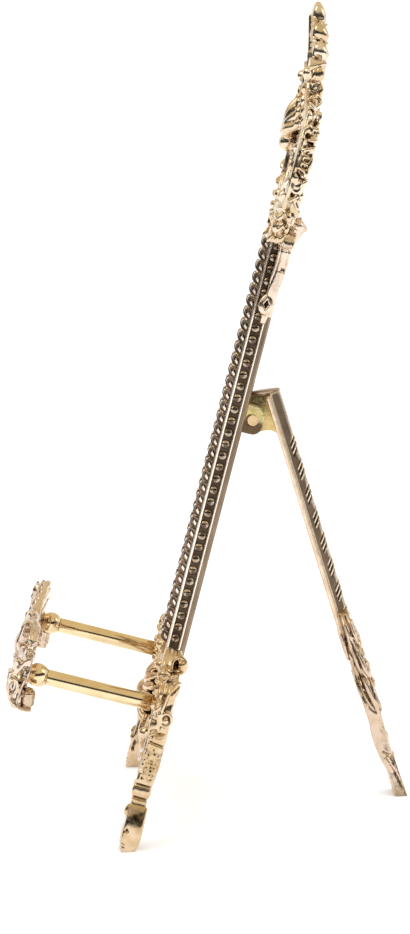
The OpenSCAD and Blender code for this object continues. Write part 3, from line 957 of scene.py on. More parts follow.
def build_crest():
    mould = Mould(crest_bow)
    foot = curl([13, 203], 2.6, 7, 20, 215)
    belly = bend([7.3, 199], [14, 190], [34, 200], [28, 221])
    shoulder = chain(bend([28, 221], [25.5, 230], [15, 229.5], [12, 238]),
                     curl([16.4, 241], 5.4, 2.0, 214, 10))
    mould.ribbon(chain(foot, belly), swelling(2.4, 5.0, 1.0), constant(5.6), constant(-0.2))
    mould.ribbon(shoulder, swelling(5.0, 2.2), swelling(5.4, 4.4), constant(-0.3))
    inner = chain(bend([6, 196], [1.5, 206], [12.5, 214], [8.6, 227]),
                  bend([8.6, 227], [6, 236], [1.6, 239], [1.6, 248]))
    mould.ribbon(inner, swelling(3.6, 3.2), constant(4.6), constant(-0.3), RIBBED)
    mould.ribbon(bend([10.8, 235], [15, 246], [12, 252], [2.5, 258]), swelling(3.6, 4), constant(4.6),
                 constant(0.6))
    for line in (edge_line(belly[4:], 5.4), edge_line(shoulder[:40], 5.0)):
        mould.tube([[x, -1.9, u] for x, u in line], constant(0.7))
    # leaf lobes that wrap the front edges of the scrolls
    mould.lobes(belly, 8, (3.0, 1.3, 1.5), side=-1, reach=0.3, mid=-2.9, start=0.15, lean=35)
    mould.lobes(belly, 7, (2.6, 1.2, 1.6), side=1, reach=0.5, mid=-1.4, start=0.15, end=0.95)
    mould.lobes(shoulder, 5, (2.4, 1.1, 1.4), side=-1, reach=0.3, mid=-2.6, start=0.05, end=0.5)
    for centre in ([13, 203], [16.4, 241]):
        mould.blob([centre[0], -1.4, centre[1]], [2.3, 2.3, 3.0])
    dress_crest_side(mould)
    foot_edge = mould.side_profile()
    for n, u, long, turn in ((-3.4, 190.0, 2.0, 75), (-1.6, 190.2, 2.0, 100), (0.2, 190.6, 1.8, 70),
                             (-3.0, 193.4, 2.2, 105), (-1.2, 193.6, 2.2, 65), (0.8, 193.8, 1.9, 95),
                             (-2.2, 197.0, 2.0, 60), (0.2, 197.2, 1.8, 110)):
        mould.boss([foot_edge(max(u, 193)) - 0.1, n, u], [long, 0.8, 1.0], turn, 0.3)
    for n, u, turn in ((1.5, 193.5, 60), (3.3, 194.2, 110), (2.2, 197.2, 20), (3.4, 199.2, 100),
                       (1.0, 200.2, 50)):
        mould.boss([8.0, n, u], [1.8, 0.9, 1.1], turn, 0.3)
    mould.mirrored()
    # centre: foot block, palmette and the leaf on top
    mould.block([-HALF_W, -2.4, POST_TOP], [HALF_W, BACK_N - 0.1, 199], 0.5)
    mould.block([-8, -3.2, 196.6], [8, 3.0, 201], 0.9)
    for angle in range(-66, 67, 22):
        a = math.radians(90 + angle)
        reach = 12.5 - 2.5 * abs(angle) / 66
        tip = [reach * math.cos(a), 222 + reach * math.sin(a)]
        rib = bend([0, 220], [0.3 * tip[0], 222], [0.8 * tip[0], tip[1] - 2], tip, 14)
        mould.ribbon(rib, swelling(1.6, 3.0, 0.6), swelling(3.0, 3.0, 1.2),
                     lambda t: -3.2 - 2.6 * math.sin(math.pi * min(t * 1.15, 1)), ROUND)
    mould.blob([0, -4.6, 219.5], [3.4, 3.0, 3.0])
    mould.blob([0, -0.6, 225], [9, 9, 2.6])
    for u, tall, wide, deep in ((248.0, 3.4, 5.0, 2.9), (253.5, 3.6, 5.5, 2.9), (259.6, 4.4, 4.7, 2.5)):
        mould.blob([0, 1.05, u], [tall, wide, deep], 90, 0.15)
        crease = [[-wide * 0.8, u - tall * 0.75], [0, u - tall * 0.95], [wide * 0.8, u - tall * 0.75]]
        mould.ribbon(np.array(crease), constant(1.0), constant(2 * deep - 0.4), constant(1.05), ROUND)
    mould.ribbon(bend([0, 244], [0, 250], [0, 254], [0, 259]), constant(1.6), constant(2.0),
                 constant(-1.3), ROUND)
    cast("crest_scrollwork", mould, ["crest"], CAST, voxel=0.355, rounds=1, wave=0.05, seed=3,
         carve=pits([(0.7, 227.2, 0.9, 2.0, 1.2), (1.6, 219.8, 1.9, 0.8, 1.0)]))


def leaf_eye(n, u):
    """Diamond-shaped eye near the root of the leaf."""
    return np.clip(1.7 - (np.abs(n - 1.1) / 0.6 + np.abs(u - 169) / 1.25), 0, 1)


def paint_leaf(points):
    """Painted shade: the sunken eye is dark all over."""
    return leaf_eye(points[:, 1], points[:, 2])


def carve_leaf(points, normals):
    """Fine grooves along the leaf's edges, a notch in its back and a diamond eye near its root."""
    n, u = points[:, 1], points[:, 2]
    front_line = 1.5 - 0.014 * (u - 184) ** 2
    grooves = (near(n - front_line, 0.35) + 0.6 * near(n - 3.7, 0.3)) * between(u, 174, 190, 1.5)
    notch = np.clip(1.4 - np.maximum(np.abs(n - 3.3) / 0.9, np.abs(u - 180.6) / 0.6), 0, 1)
    return -(0.5 * grooves + 1.5 * leaf_eye(n, u) + 0.6 * notch) * facing_out(normals)


def build_leaves():
    for side, word in SIDES:
        mould = Mould()
        path = chain(bend([8.2, 163], [11, 172], [8.6, 178], [10.8, 186.2]),
                     curl([15.3, 187.5], 4.8, 2.2, 195, 20))
        mould.ribbon(path, swelling(1.4, 2.4, 2.0), lambda t: 1.6 + 2.4 * min(4 * t, 1),
                     lambda t: 1.5 + 1.0 * min(3 * t, 1), FLAT)
        root = mould.side_profile()
        mould.boss([root(169) - 0.3, 1.1, 169], [3.5, 2.5, 1.1], 90, 0.2)
        mould.block([HALF_W - 0.25, 2.3, 165], [HALF_W + 2.3, 3.9, 186.5], 0.4)
        # ribs of the leaf fan out to its tip, which rolls over to the back
        for i, (n, reach) in enumerate(((-2.2, 1.2), (-1.0, 2.2), (0.2, 3.0), (1.4, 3.4))):
            rib = [[12.2 + 2.8 * math.sin(1.4 * t), n + reach * t ** 2,
                    188.5 + (6.4 + i) * math.sin(1.35 * t)] for t in np.linspace(0, 1, 14)]
            mould.tube(rib, swelling(0.75, 0.5, 0.2))
        roll = [[13.0 + 1.2 * t, 1.8 + 2.9 * math.sin(1.45 * t), 188.0 + 7.4 * math.sin(1.3 * t)]
                for t in np.linspace(0, 1.0, 16)]
        mould.tube(roll, swelling(2.3, 2.4))
        mould.boss([14.2, 4.6, 195.0], [2.9, 2.3, 2.7], -14, 0.35)
        for n, u in ((1.6, 188.6), (2.9, 189.4), (2.4, 187.4), (3.7, 187.8), (1.3, 190.4)):
            mould.boss([14.6, n, u], [0.9, 0.8, 1.3], 60)
        mould.to_side(side)
        cast(word + "_flank_leaf", mould, [word + "_leaf"], LEAF, voxel=0.28, wave=0.04, seed=7,
             carve=carve_leaf, paint=paint_leaf)


build_crest()
build_leaves()


# ---- base and front legs ----------------------------------------------------

EYE = [PEG_X, PEG_U]


def build_base():
    mould = Mould()
    upper = chain(bend([33, 52], [29, 58.5], [22.5, 58], [20.8, 51.3]), curl([16, 50.6], 4.8, 2.0, 8, -230))
    middle_bar = bend([33.5, 43.4], [25, 36], [20, 46], [9, 42])
    apron = chain(bend([46, 23.6], [41, 33], [31, 20], [21, 24]), curl([22.4, 29.6], 5.6, 2.2, 255, 0))
    centre = bend([22, 24.2], [14, 19.5], [8, 29], [0.5, 24])
    mould.ribbon(upper, swelling(4.0, 2.2, 0.8), constant(5.6), constant(-0.5))
    mould.ribbon(middle_bar, swelling(3.4, 4.0), constant(4.6), constant(-0.5), RIBBED)
    mould.ribbon(apron, swelling(3.6, 2.2, 0.8), constant(5.0), constant(-0.6))
    mould.ribbon(centre, swelling(3, 3.6), constant(4.8), constant(-0.6), RIBBED)
    mould.ribbon(bend([17.4, 46.4], [14, 43], [10, 45], [6, 46]), constant(3.6), constant(4.8),
                 constant(-0.6), ROUND)
    mould.ribbon(bend([37, 36.5], [30.5, 35], [33.5, 30], [32.5, 23.5]), swelling(3, 3, 0.8),
                 constant(4.2), constant(-0.5), ROUND)
    mould.lobes(upper, 6, (3.0, 1.4, 1.8), side=1, reach=0.4, mid=-1.4, end=0.42)
    mould.lobes(apron, 8, (2.8, 1.3, 1.8), side=-1, reach=0.4, mid=-1.4, start=0.04, end=0.55)
    mould.lobes(centre, 4, (2.2, 1.1, 1.6), side=-1, reach=0.4, mid=-1.6)
    for c in ([16, 50.6], [22.4, 29.6]):
        mould.blob([c[0], -1.8, c[1]], [2.2, 2.2, 3.0])
    mould.mirrored()
    # cartouche in the middle: shell of ribs round a boss
    mould.blob([0, -0.4, 38], [11, 11, 3.0])
    for i in range(16):
        mould.ribbon(spoke([0, 38], math.tau * i / 16, (2, 4, 7, 9.6)), swelling(1.4, 3.0),
                     constant(2.6), lambda t: -3.6 - 1.6 * math.sin(math.pi * t), ROUND)
    mould.blob([0, -4.4, 38], [4.4, 4.4, 3.8])
    mould.block([-HALF_W, -2.9, 31], [HALF_W, BACK_N - 0.05, POST_FOOT - 0.02], 0.6)
    mould.blob([0, -0.8, 23.5], [7.5, 4.2, 2.6], -90, 0.5)
    mould.blob([0, -2.6, 25], [4.5, 2.0, 1.6], -90, 0.5)
    cast("base_scrollwork", mould, ["base"], FOOT, rounds=1, wave=0.05, seed=11)


def leg_centre():
    """Middle line of a front leg from the sole up, as (x, u)."""
    return bend([FEET_X, -0.6], [FEET_X - 6, 15], [FEET_X + 1, 26], [FEET_X - 0.6, 40], 60)


LEG_PITS = pits([(-2.2, 6.4, 0.6, 0.8, 0.7), (0.4, 56.6, 0.8, 2.2, 0.7)])


def carve_front_leg(points, normals):
    """Grooves between the collars, a stippled panel above them, and the pits of the leaf work."""
    n, u = points[:, 1], points[:, 2]
    panel = between(u, 22.6, 33.6)
    worked = np.array([noise.noise(Vector(p) / 0.62) for p in points])
    rim = near(n + 1.7, 0.35) * between(u, 22.5, 37)
    toes = sum(near(np.hypot(n + 1.0, u - 6.5) - r, 0.3) for r in (4.4, 5.3))
    toes = toes * np.clip((-1.4 - n) / 0.5, 0, 1) * (u < 6)
    cut = sum(depth * near(u - place + lean * n, 0.5)
              for place, lean, depth in ((16.4, 0.05, 0.7), (20.6, 0.05, 0.55), (34.4, 0.16, 0.6)))
    inner = np.clip(-normals[:, 0] * np.sign(points[:, 0]), 0, 1)
    blot = inner * np.clip(1.5 - np.hypot((n + 2.2) / 0.6, (u - 8.2) / 1.7), 0, 1)
    return (0.26 * panel * (0.3 - 2.2 * np.abs(worked)) - cut - 0.3 * rim - 0.25 * toes - 0.8 * blot
            + LEG_PITS(points, normals))


def paint_front_leg(points):
    """Brown patches on the stippled panel and between the collars, and painted shade on the knuckle."""
    n, u = points[:, 1], points[:, 2]
    knuckle = np.clip(1.5 - 1.1 * np.maximum(np.abs(n + 0.2) / 2.4, np.abs(u - 10.7 - 0.4 * n) / 1.9), 0, 1)
    place = between(u, 14.5, 33.6) * np.clip((n + 1.9) / 0.5, 0, 1)
    patch = np.array([noise.noise(Vector(p) / 1.6) for p in points])
    return np.maximum(place * np.clip(0.45 + 0.55 * patch, 0, 0.6),
                      knuckle * np.clip(0.8 + 0.6 * patch, 0.35, 0.95))


def dress_leg_side(mould):
    """Leaf work on the outer side of a front leg's ring."""
    edge = mould.side_profile()
    mould.hoop(edge(42.4) + 0.5, (1.0, 42.4), (1.7, 2.0), 0, 0.9)
    mould.boss([edge(42.4) - 0.3, 1.0, 42.0], [1.0, 0.9, 0.8], 70)
    mould.boss([edge(49) - 0.1, 0.9, 49.4], [4.4, 1.5, 1.0], 66, 0.3)
    mould.bar(edge(45) + 0.1, (-1.2, 42.5), (-0.2, 50.5), 0.55)
    mould.bar(edge(44) + 0.1, (-0.6, 38.0), (-1.5, 44.0), 0.55)
    for n, u, turn in ((-2.3, 45.2, 70), (-2.2, 49.4, 100), (-2.0, 53.2, 70), (1.8, 53.0, 20),
                       (0.2, 54.2, 40), (-1.7, 37.6, 35), (0.4, 37.0, 20)):
        mould.boss([edge(u), n, u], [1.7, 0.7, 0.9], turn, 0.3)
    mould.boss([edge(57) - 0.4, 2.0, 57.2], [1.7, 1.9, 2.0])
    mould.hoop(edge(57) + 0.7, (1.6, 57.0), (2.1, 2.6), 10, 0.9)


def build_front_leg(side, word):
    mould = Mould()

    def wide(t):
        u = 40 * t
        collars = 1.0 * math.exp(-((u - 18.5) / 1.4) ** 2) + 0.5 * math.exp(-((u - 22.4) / 1.0) ** 2)
        knuckle = 1.2 * math.exp(-((u - 11.0) / 2.6) ** 2)
        return 7.0 + collars + knuckle - 1.8 * t

    def deep(t):
        u = 40 * t
        collar = 0.5 * math.exp(-((u - 18.5) / 1.6) ** 2) - 0.8 * math.exp(-((u - 14.5) / 2.0) ** 2)
        pad = 0.8 * math.exp(-((u - 5.5) / 3.0) ** 2)
        return 5.4 + collar + pad - 1.9 * math.exp(-((u + 0.6) / 2.0) ** 2)

    def set_back(t):
        u = 40 * t
        return -0.7 * math.exp(-(t / 0.2) ** 2) - 0.7 * math.exp(-((u - 18) / 7.0) ** 2)

    mould.ribbon(leg_centre(), wide, deep, set_back, FLAT, 0.0)
    # ring that holds the peg, its lobes and its buttons
    ring = chain(bend([FEET_X - 0.6, 38], [FEET_X - 0.4, 40], [FEET_X - 0.3, 40.4], [49.6, 40.6], 8),
                 curl(EYE, 10, 6.2, -17, 285, 60))
    mould.ribbon(ring, swelling(6.0, 2.8, 0.4), swelling(6.0, 5.0), constant(-0.5))
    mould.lobes(ring, 7, (2.4, 1.2, 1.6), side=-1, reach=0.3, mid=-3.1, start=0.05, end=0.7)
    mould.blob([43.5, -2.4, 53.4], [2.8, 2.0, 2.2], 30)
    mould.blob([39.5, -2.0, 54.4], [2.8, 1.8, 2.2], 0)
    mould.blob([PEG_X, 0.4, PEG_U], [4.7, 4.7, 2.1])
    for start, end, deep_there in (([36.5, 50], [33, 52.4], 4.6), ([45, 35.4], [41, 38], 4.4)):
        mould.ribbon(np.linspace(start, end, 8), constant(4.2), constant(deep_there), constant(-0.5), ROUND)
    dress_leg_side(mould)
    # foot: a smooth pad with a knuckle of leaf tips above it
    pad = chain(bend([0, -0.6], [0, 4], [0.1, 7], [-0.3, 8.4]),
                bend([-0.3, 8.4], [-0.6, 9.8], [-1.2, 11.4], [-1.9, 12.8])) + [FEET_X, 0]

    def pad_deep(t):
        u = 13.4 * t
        return 6.1 - 2.3 * math.exp(-((u + 0.3) / 1.7) ** 2) - 0.5 * t

    mould.ribbon(pad, swelling(6.6, 6.4), pad_deep, constant(-0.35), FLAT, 0.0)
    for dx, n, u in ((-2.6, -2.9, 10.2), (0.6, -3.0, 11.4)):
        mould.blob([FEET_X - 1.6 + dx, n, u], [2.4, 1.4, 1.3], -100, 0.5)
    mould.to_side(side)
    centre = (side * PEG_X, PEG_U)
    cast(word + "_front_leg_casting", mould, [word + "_front_leg"], FOOT, voxel=0.28, rounds=1, wave=0.05,
         seed=17 + side, ground=True, holes=[(centre, -8, 8, SCREW_HOLE_R)], carve=carve_front_leg,
         paint=paint_front_leg)


build_base()
for side, word in SIDES:
    build_front_leg(side, word)


# ---- pegs, balls and screws -------------------------------------------------

PEG_R, NECK_R, BALL_R = 2.5, 1.9, 3.7
PEG_FRONT, PEG_REAR, BOSS_N = -37.0, -3.9, -1.6
BALL_N = PEG_FRONT - 2.8
PLAQUE_BACK = PEG_FRONT - 5.7


def rounded(n0, n1, r):
    """Profile of a plain turned length with rounded ends."""
    edge = 0.25
    return [(n0, r - edge), (n0 + 0.3 * edge, r - 0.3 * edge), (n0 + edge, r),
            (n1 - edge, r), (n1 - 0.3 * edge, r - 0.3 * edge), (n1, r - edge)]


def build_pegs():
    for side, word in SIDES:
        centre = (side * PEG_X, PEG_U)
        rod = rounded(PEG_FRONT, PEG_REAR, PEG_R) + [(PEG_REAR + 0.05, NECK_R), (BOSS_N + 0.4, NECK_R)]
        turned(word + "_peg_rod", rod, centre, [word + "_peg"], TURNED)
        first, last = math.radians(40), math.radians(141)
        ball = [(PEG_FRONT - 0.02, 2.3), (PEG_FRONT - 0.3, 2.35)]
        for a in np.linspace(first, last, 26):
            ball.append((BALL_N + BALL_R * math.cos(a), BALL_R * math.sin(a)))
        ball.append((PLAQUE_BACK - 0.02, BALL_R * math.sin(last)))
        turned(word + "_peg_ball", ball[::-1], centre, [word + "_ball_collar"], TURNED)


build_pegs()

for node, material in (("peg_screws", PLAIN), ("plaque_screws", TURNED), ("hinge_pin", PIN),
                       ("post_stud", PLAIN), ("base_stud", PLAIN)):
    data = frame["nodes"][node].data
    data.materials.clear()
    data.materials.append(material)


# ---- plaque -----------------------------------------------------------------

PLAQUE_MID = PLAQUE_BACK - 2.1
PLAQUE_BOW = 760.0


def plaque_bow(x, u):
    """The plaque bulges forward in its middle."""
    return x ** 2 / PLAQUE_BOW + 2.0 * ((u - PEG_U) / 21) ** 2


def dress_plaque_end(mould):
    """Loops and leaf ends that make up the outer end of the plaque, seen from the side."""
    back = -plaque_bow(PEG_X + 6, PEG_U)      # takes the bow off again, so n is true here
    outer = PEG_X + 8.4

    def line(*points):
        return bend(*points) + [back, 0]

    mould.hoop(outer, (-46.8 + back, 39.8), (1.3, 2.5), -8, 0.9, 4.0)
    mould.strap(line([-48.4, 44.5], [-48.6, 35.5], [-45.6, 32.8], [-39.8, 34.2]),
                outer - 5, outer + 0.2, constant(1.1))
    mould.block([outer - 5.4, -43.4 + back, 34.4], [outer - 0.4, -39.2 + back, 40.2], 1.0)
    mould.boss([outer - 0.5, -41.4 + back, 38.6], [1.5, 0.9, 0.6], 10)
    mould.strap(line([-45.2, 33.6], [-44.6, 37.0], [-44.0, 40.0], [-43.6, 43.0]),
                outer - 4, outer, constant(0.9))
    for start, end in (((-48.3, 49.5), (-46.9, 44.0)), ((-46.9, 44.0), (-44.6, 48.6))):
        a, b = np.array(start), np.array(end)
        mould.strap(line(a, a + (b - a) * 0.33, a + (b - a) * 0.66, b), outer - 4, outer, constant(1.2))
    mould.hoop(outer - 0.6, (-43.9 + back, 50.6), (1.1, 1.1), 0, 0.9, 3.0)
    mould.hoop(outer - 0.2, (-44.1 + back, 48.2), (0.9, 0.9), 0, 0.8, 3.0)
    mould.boss([outer - 1.5, -46.4 + back, 47.0], [2.2, 0.8, 1.4], 100)
    curl_x = outer - 15.3
    mould.hoop(curl_x, (-45.7 + back, 55.2), (1.5, 1.9), 10, 0.9, 3.6)
    mould.boss([curl_x - 2.6, -45.7 + back, 55.2], [2.0, 1.6, 2.3], 100)
    for i in range(4):
        mould.bar(curl_x - 0.2, (-44.5 + back, 53.8 + 0.9 * i), (-46.5 + back, 54.1 + 0.8 * i), 0.36)
    for n, low, high in ((-47.6, 50.5, 57.0), (-46.6, 50.0, 54.0), (-45.4, 50.5, 54.0)):
        mould.bar(outer - 11.5, (n + back, low), (n + 0.3 + back, high), 0.5)


def build_plaque():
    mould = Mould(plaque_bow)
    mid = PLAQUE_MID - 1.5
    for flip in (1, -1):
        def at(points):
            return np.array([[x, PEG_U + flip * (u - PEG_U)] for x, u in points])
        scroll = at(bend([38, 52.2], [31, 60], [18, 48], [9, 55.5]))
        mould.ribbon(scroll, swelling(3.2, 3.8, 0.6), constant(3.4), constant(mid))
        for roll, set_off in ((curl([27, 51.5], 4.4, 1.6, 100, -200), 0.6),
                              (curl([13.5, 52.0], 4.6, 1.6, 60, 380), 0.8)):
            mould.ribbon(at(roll), swelling(2.8, 1.8), constant(3.0), constant(mid - set_off), ROUND)
        mould.lobes(scroll, 7, (2.8, 1.3, 1.5), side=-flip, reach=0.45, mid=mid - 0.3, start=0.05)
        tip = at(bend([9, 54.5], [6, 57], [4, 60], [1.5, 63.5]))
        mould.ribbon(tip, swelling(4.4, 2.8, 0.6), swelling(3.0, 2.4), constant(mid + 0.1), FLAT)
        mould.lobes(tip, 4, (2.8, 1.2, 0.8), side=-flip, reach=0.3, mid=mid - 1.3)
    mould.ribbon(curl(EYE, 5.6, 5.6, 0, 360, 48), constant(2.8), constant(2.6), constant(mid))
    dress_plaque_end(mould)
    mould.blob([PEG_X, mid + 0.5, PEG_U], [5.6, 5.6, 1.2])
    mould.ribbon(bend([33, PEG_U], [26, PEG_U + 2], [20, PEG_U - 2], [11, PEG_U]), swelling(3.4, 4.4),
                 constant(3.0), constant(mid), RIBBED)
    mould.mirrored()
    # convex boss with ribs, and the leaf straps above and below it
    mould.blob([0, mid + 0.8, PEG_U], [13.2, 13.2, 2.0])
    for i in range(18):
        rib = spoke([0, PEG_U], math.tau * i / 18, (3, 6, 9, 12.4))
        mould.ribbon(rib, swelling(1.0, 3.6), swelling(2.6, 1.8), lambda t: mid - 1.6 + 1.2 * t * t, ROUND)
    mould.blob([0, mid - 1.4, PEG_U], [4.6, 4.6, 2.2])
    for flip in (1, -1):
        strap = np.array([[0, PEG_U + flip * (12 + 9.2 * t)] for t in np.linspace(0, 1, 12)])
        mould.ribbon(strap, swelling(6.4, 4.6, -0.6), swelling(3.0, 2.4), constant(mid + 0.1), RIBBED, 0.12)
    cast("front_plaque", mould, ["plaque"], LEAF, rounds=1, wave=0.12, seed=23,
         holes=[((x, PEG_U), PLAQUE_BACK - 10, PLAQUE_BACK + 10, SCREW_HOLE_R) for x in (PEG_X, -PEG_X)])


build_plaque()


# ---- rear leg ---------------------------------------------------------------

FLANGE_FRONT, FLANGE_BACK, BEAM_BACK, LEG_TOP = -3.5, -1.8, 1.5, 138.3
EAR_IN, EAR_OUT, TONGUE_R = 2.3, 4.5, 4.4
HEAD_M, HEAD_LONG = -3.0, 4.7    # middle and half length of the cap on the leg's head
LEG_FOOT_V = 55.0                # where the plain leg runs into its ornament


def outline_plate(name, outline, x0, x1, place, nodes, material, body, soften=0.35):
    """Plate across x with the given outline in (depth, height) and rounded edges."""
    k = len(outline)
    points = [[x, d, h] for x in (x0, x1) for d, h in outline]
    faces = [list(range(k)), list(range(2 * k - 1, k - 1, -1))]
    faces += [[i, i + k, (i + 1) % k + k, (i + 1) % k] for i in range(k)]
    ob = new_object(name, points, faces)
    tidy_normals(ob.data)
    bevel = ob.modifiers.new("soft_edges", "BEVEL")
    bevel.width = soften
    bevel.segments = 4
    bevel.limit_method = "ANGLE"
    bevel.angle_limit = math.radians(40)
    evaluated(ob)
    store(ob.data, "patina_and_shade", np.zeros(len(ob.data.vertices)))
    finish_piece(ob, place, material, body, nodes)


def arc(centre, r, a0, a1, steps=20):
    return [(centre[0] + r * math.cos(a), centre[1] + r * math.sin(a))
            for a in np.radians(np.linspace(a0, a1, steps + 1))]


def paint_ear(points):
    """Painted shadow ring round the lower front of the pin, and painted shade making the lower half darker towards
    the bottom.
    """
    n, u = points[:, 1] - PIN_AT.y, points[:, 2] - PIN_AT.z
    ring = np.clip(1.5 - np.abs(np.hypot(n, u) - 2.0) / 0.4, 0, 1) * np.clip(0.7 - 0.25 * (u + n), 0, 1)
    return np.maximum(ring, np.clip(0.45 - 0.3 * u, 0, 0.72))


def build_ears():
    """Two ears on the post's back that hold the hinge pin."""
    n, u = PIN_AT.y, PIN_AT.z
    outline = [(BACK_N - 0.8, u - 4.6)] + arc((n + 0.4, u - 1.6), 3.0, -90, 0, 10)
    outline += arc((n - 0.1, u + 1.4), 3.5, 0, 90, 14) + [(BACK_N - 0.8, u + 4.9)]
    for side, word in SIDES:
        x0, x1 = sorted((side * EAR_IN, side * EAR_OUT))
        ring = np.array([[x0, d, h] for d, h in outline])
        mould = Mould()
        mould.rings([ring, ring + [x1 - x0, 0, 0]], [[x0, n, u], [x1, n, u]])
        cast(word + "_hinge_ear", mould, ["post"], HINGE, voxel=0.22, rounds=3, wave=0.02,
             paint=paint_ear)


def carve_beam(points, normals):
    """Groups of slanting cuts across the back corners of the leg's beam, and partly down its sides."""
    x, m, v = points.T
    slant = v - 1.3 * m
    cuts = np.cos(math.tau * slant / 1.8)
    group = np.clip(np.sin(math.tau * (slant - 2.0) / 8.2) * 3 + 0.9, 0, 1)
    corner = np.clip((m + 0.5) / 0.4, 0, 1) * np.clip((np.abs(x) - 1.2) / 0.6, 0, 1)
    stretch = np.clip((v - 57) / 2, 0, 1) * np.clip((126 - v) / 4, 0, 1)
    return -0.3 * cuts * group * corner * stretch


def build_rear_leg():
    flange = Mould()
    flange.block([-4, FLANGE_FRONT, LEG_FOOT_V - 5], [4, FLANGE_BACK, LEG_TOP - 1.0], 0.35)
    cast("rear_leg_flange", flange, ["rear_leg"], FLANGE, LEG_PLACE, "leg", 0.3, 1, 0.05, 31)
    # beam behind the flange, which ends at the top in a slanted head over the tongue
    beam = Mould()
    line = upright(LEG_FOOT_V, LEG_TOP - 0.4, 60)
    section = [(-1, -1), (1, -1), (1, 0.72), (0.93, 0.9), (0.8, 1), (-0.8, 1), (-0.93, 0.9), (-1, 0.72)]
    beam.ribbon(line, constant(6.2), constant(3.6), constant(-0.3), section, 0.0)
    cast("rear_leg_beam", beam, ["rear_leg"], BEAM, LEG_PLACE, "leg", 0.24, 0, 0.0, 37,
         carve=carve_beam)
    build_leg_head()
    build_tongue()
    build_leg_ornament()


def build_leg_head():
    """Oval cap whose flat top slants a little, from the tongue's nose to the beam's back."""
    rings = []
    lean_back = math.tan(math.radians(9))
    for down, inset in ((1.6, 1.2), (1.2, 0.3), (0.5, 0.0), (0.12, 0.12), (0.0, 0.45)):
        ring = []
        for a in [math.tau * i / 48 for i in range(48)]:
            m = HEAD_M + (HEAD_LONG - inset) * math.cos(a)
            ring.append([(3.2 - inset) * math.sin(a), m, LEG_TOP + 0.2 - down - lean_back * (m - BEAM_BACK)])
        rings.append(ring)
    mould = Mould()
    low = LEG_TOP - 1.4 - lean_back * (HEAD_M - BEAM_BACK)
    mould.rings(rings, [[0, HEAD_M, low], [0, HEAD_M, LEG_TOP + 0.2 - lean_back * (HEAD_M - BEAM_BACK)]])
    ob = new_object("rear_leg_head", np.vstack(mould.points), mould.faces)
    tidy_normals(ob.data)
    store(ob.data, "patina_and_shade", np.zeros(len(ob.data.vertices)))
    finish_piece(ob, LEG_PLACE, CAP, "leg", ["rear_leg"])


def build_tongue():
    m, v = PIN_ON_LEG.y, PIN_ON_LEG.z
    outline = arc((m, v), TONGUE_R, 150, 262, 20) + [(m + 2.4, v - TONGUE_R - 0.1)]
    outline += arc((FLANGE_FRONT - 3.6, v - TONGUE_R - 4.4), 4.2, 88, 4, 12)
    outline += [(FLANGE_FRONT + 0.6, v - TONGUE_R - 4.4), (FLANGE_FRONT + 0.6, LEG_TOP),
                (m + 1.2, LEG_TOP + 1.0)]
    outline_plate("hinge_tongue", outline, -2, 2, LEG_PLACE, ["rear_leg"], TONGUE, "leg", 0.3)


LEG_GROOVES = (                  # (depth, height) of the points that each long groove runs through
    ((-1.6, 63.0), (-2.1, 55.5), (-2.6, 47.5), (-2.2, 36.0), (-0.9, 31.5), (0.5, 29.5)),
    ((-2.2, 54.0), (-1.6, 47.5), (-1.0, 43.0), (-1.1, 38.5), (0.5, 29.5)),
    ((0.0, 62.5), (0.2, 58.0), (0.9, 54.0), (2.1, 46.5), (2.7, 36.5)),
    ((-0.4, 56.0), (-0.1, 50.5), (0.1, 45.5), (1.4, 41.0), (2.0, 28.5)),
    ((-1.2, 15.5), (0.6, 14.0)), ((0.2, 11.0), (1.6, 2.5)))


def carve_leg_ornament(points, normals):
    """Long grooves that outline the leaves of the ornament, and the lens-shaped one above the foot."""
    m, v = points[:, 1], points[:, 2]
    half = 0.32

    def line(m0, v0, m1, v1):
        """How near each point is to a straight cut between two (m, v) points."""
        dm, dv = m1 - m0, v1 - v0
        along = np.clip(((m - m0) * dm + (v - v0) * dv) / (dm ** 2 + dv ** 2), 0, 1)
        return np.clip(1.2 - np.hypot(m - m0 - along * dm, v - v0 - along * dv) / half, 0, 1)

    cuts = 0
    for path in LEG_GROOVES:
        for start, end in zip(path, path[1:]):
            cuts = np.maximum(cuts, line(*start, *end))
    return -0.55 * cuts * facing_out(normals)


def dress_ornament_side(mould):
    """Long slender leaves on the side of the rear leg's ornament."""
    edge = mould.side_profile()
    leaves = (
        (-3.0, 54.0, 5.0, 0.8, 88), (-0.9, 56.0, 5.4, 0.8, 88), (-2.6, 38.0, 4.4, 0.6, 95),
        (-0.7, 49.0, 4.6, 0.7, 92), (1.0, 57.0, 4.4, 0.6, 90), (0.8, 47.0, 5.0, 0.8, 98),
        (-1.4, 36.4, 4.6, 0.8, 96), (0.4, 37.0, 5.6, 0.9, 97), (2.1, 33.0, 3.6, 0.7, 95),
        (0.9, 24.0, 3.6, 0.7, 95), (-0.2, 10.6, 2.8, 0.9, 100))
    for m, v, long, wide, turn in leaves:
        mould.boss([edge(v) - 0.1, m, v], [long, wide, 0.7], turn, 0.25)


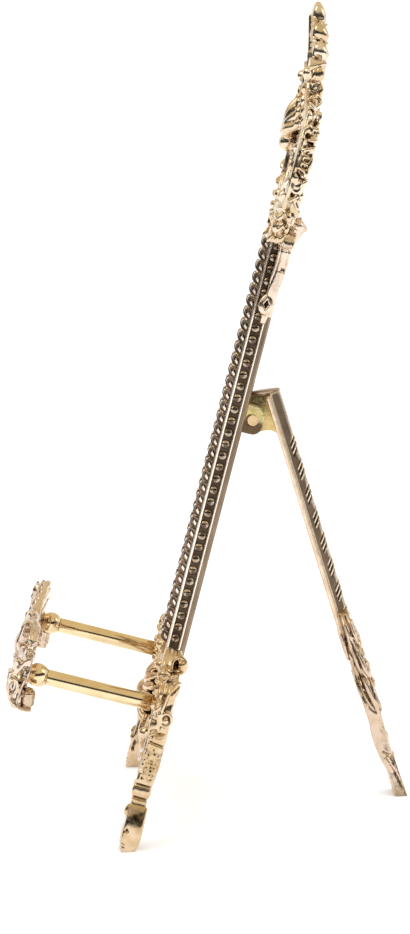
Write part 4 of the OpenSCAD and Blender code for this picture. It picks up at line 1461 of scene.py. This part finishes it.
def build_leg_ornament():
    """Scrolled ornament and foot that end the rear leg."""
    mould = Mould()
    upper = bend([0.8, 64], [12.4, 57.5], [9.5, 46], [2.6, 40])
    lower = bend([2.6, 43], [9.0, 36], [6.5, 28], [1.6, 19])
    mould.ribbon(upper, swelling(2.6, 3.8, 0.6), swelling(3.6, 4.8, 0.2), constant(-0.5), FLAT)
    mould.ribbon(lower, swelling(3.6, 3.0, 0.5), swelling(5.0, 4.4), constant(-0.4), FLAT)
    mould.lobes(upper, 7, (2.6, 1.2, 1.5), side=1, reach=0.35, mid=1.2, start=0.1, lean=40)
    mould.lobes(lower, 6, (2.4, 1.1, 1.4), side=1, reach=0.35, mid=0.8, lean=40)
    mould.ribbon(curl([4.4, 47.5], 3.0, 1.2, -60, 200), swelling(2.4, 1.6), constant(4.4),
                 constant(0.2), ROUND)
    mould.ribbon(curl([4.2, 33.5], 2.6, 1.0, -60, 200), swelling(2.2, 1.4), constant(4.0),
                 constant(0.0), ROUND)
    # stem and foot
    mould.ribbon(upright(31, 8.6, 36), swelling(6.6, 7.4, -0.8), swelling(3.4, 3.8, 1.5),
                 lambda t: -0.7 * math.sin(math.pi * t), ROUND, 0.4)
    mould.ribbon(upright(13, -1.4, 24), swelling(6.8, 10.4), swelling(3.6, 4.2), constant(0.2), FLAT, 0.0)
    dress_ornament_side(mould)
    mould.mirrored()
    mould.blob([0, 0.4, 54], [8.0, 3.6, 2.6], 90, 0.4)
    mould.blob([0, 0.2, 42], [4.2, 4.6, 3.0], 90)
    mould.blob([0, 0.2, 33], [6.5, 3.4, 2.3], -90, 0.3)
    for v, m in ((58.5, 0.8), (49.5, 1.3), (44.0, 1.8), (38.2, 1.9), (30.5, 1.4), (20.0, 0.8), (13.0, 0.9)):
        mould.blob([0, m, v], [2.8, 2.0, 1.5], 90, 0.4)
    cast("rear_leg_ornament", mould, ["rear_leg"], SCROLL, LEG_PLACE, "leg", 0.26, 1, 0.04, 41,
         ground=True, carve=carve_leg_ornament)


build_ears()
build_rear_leg()
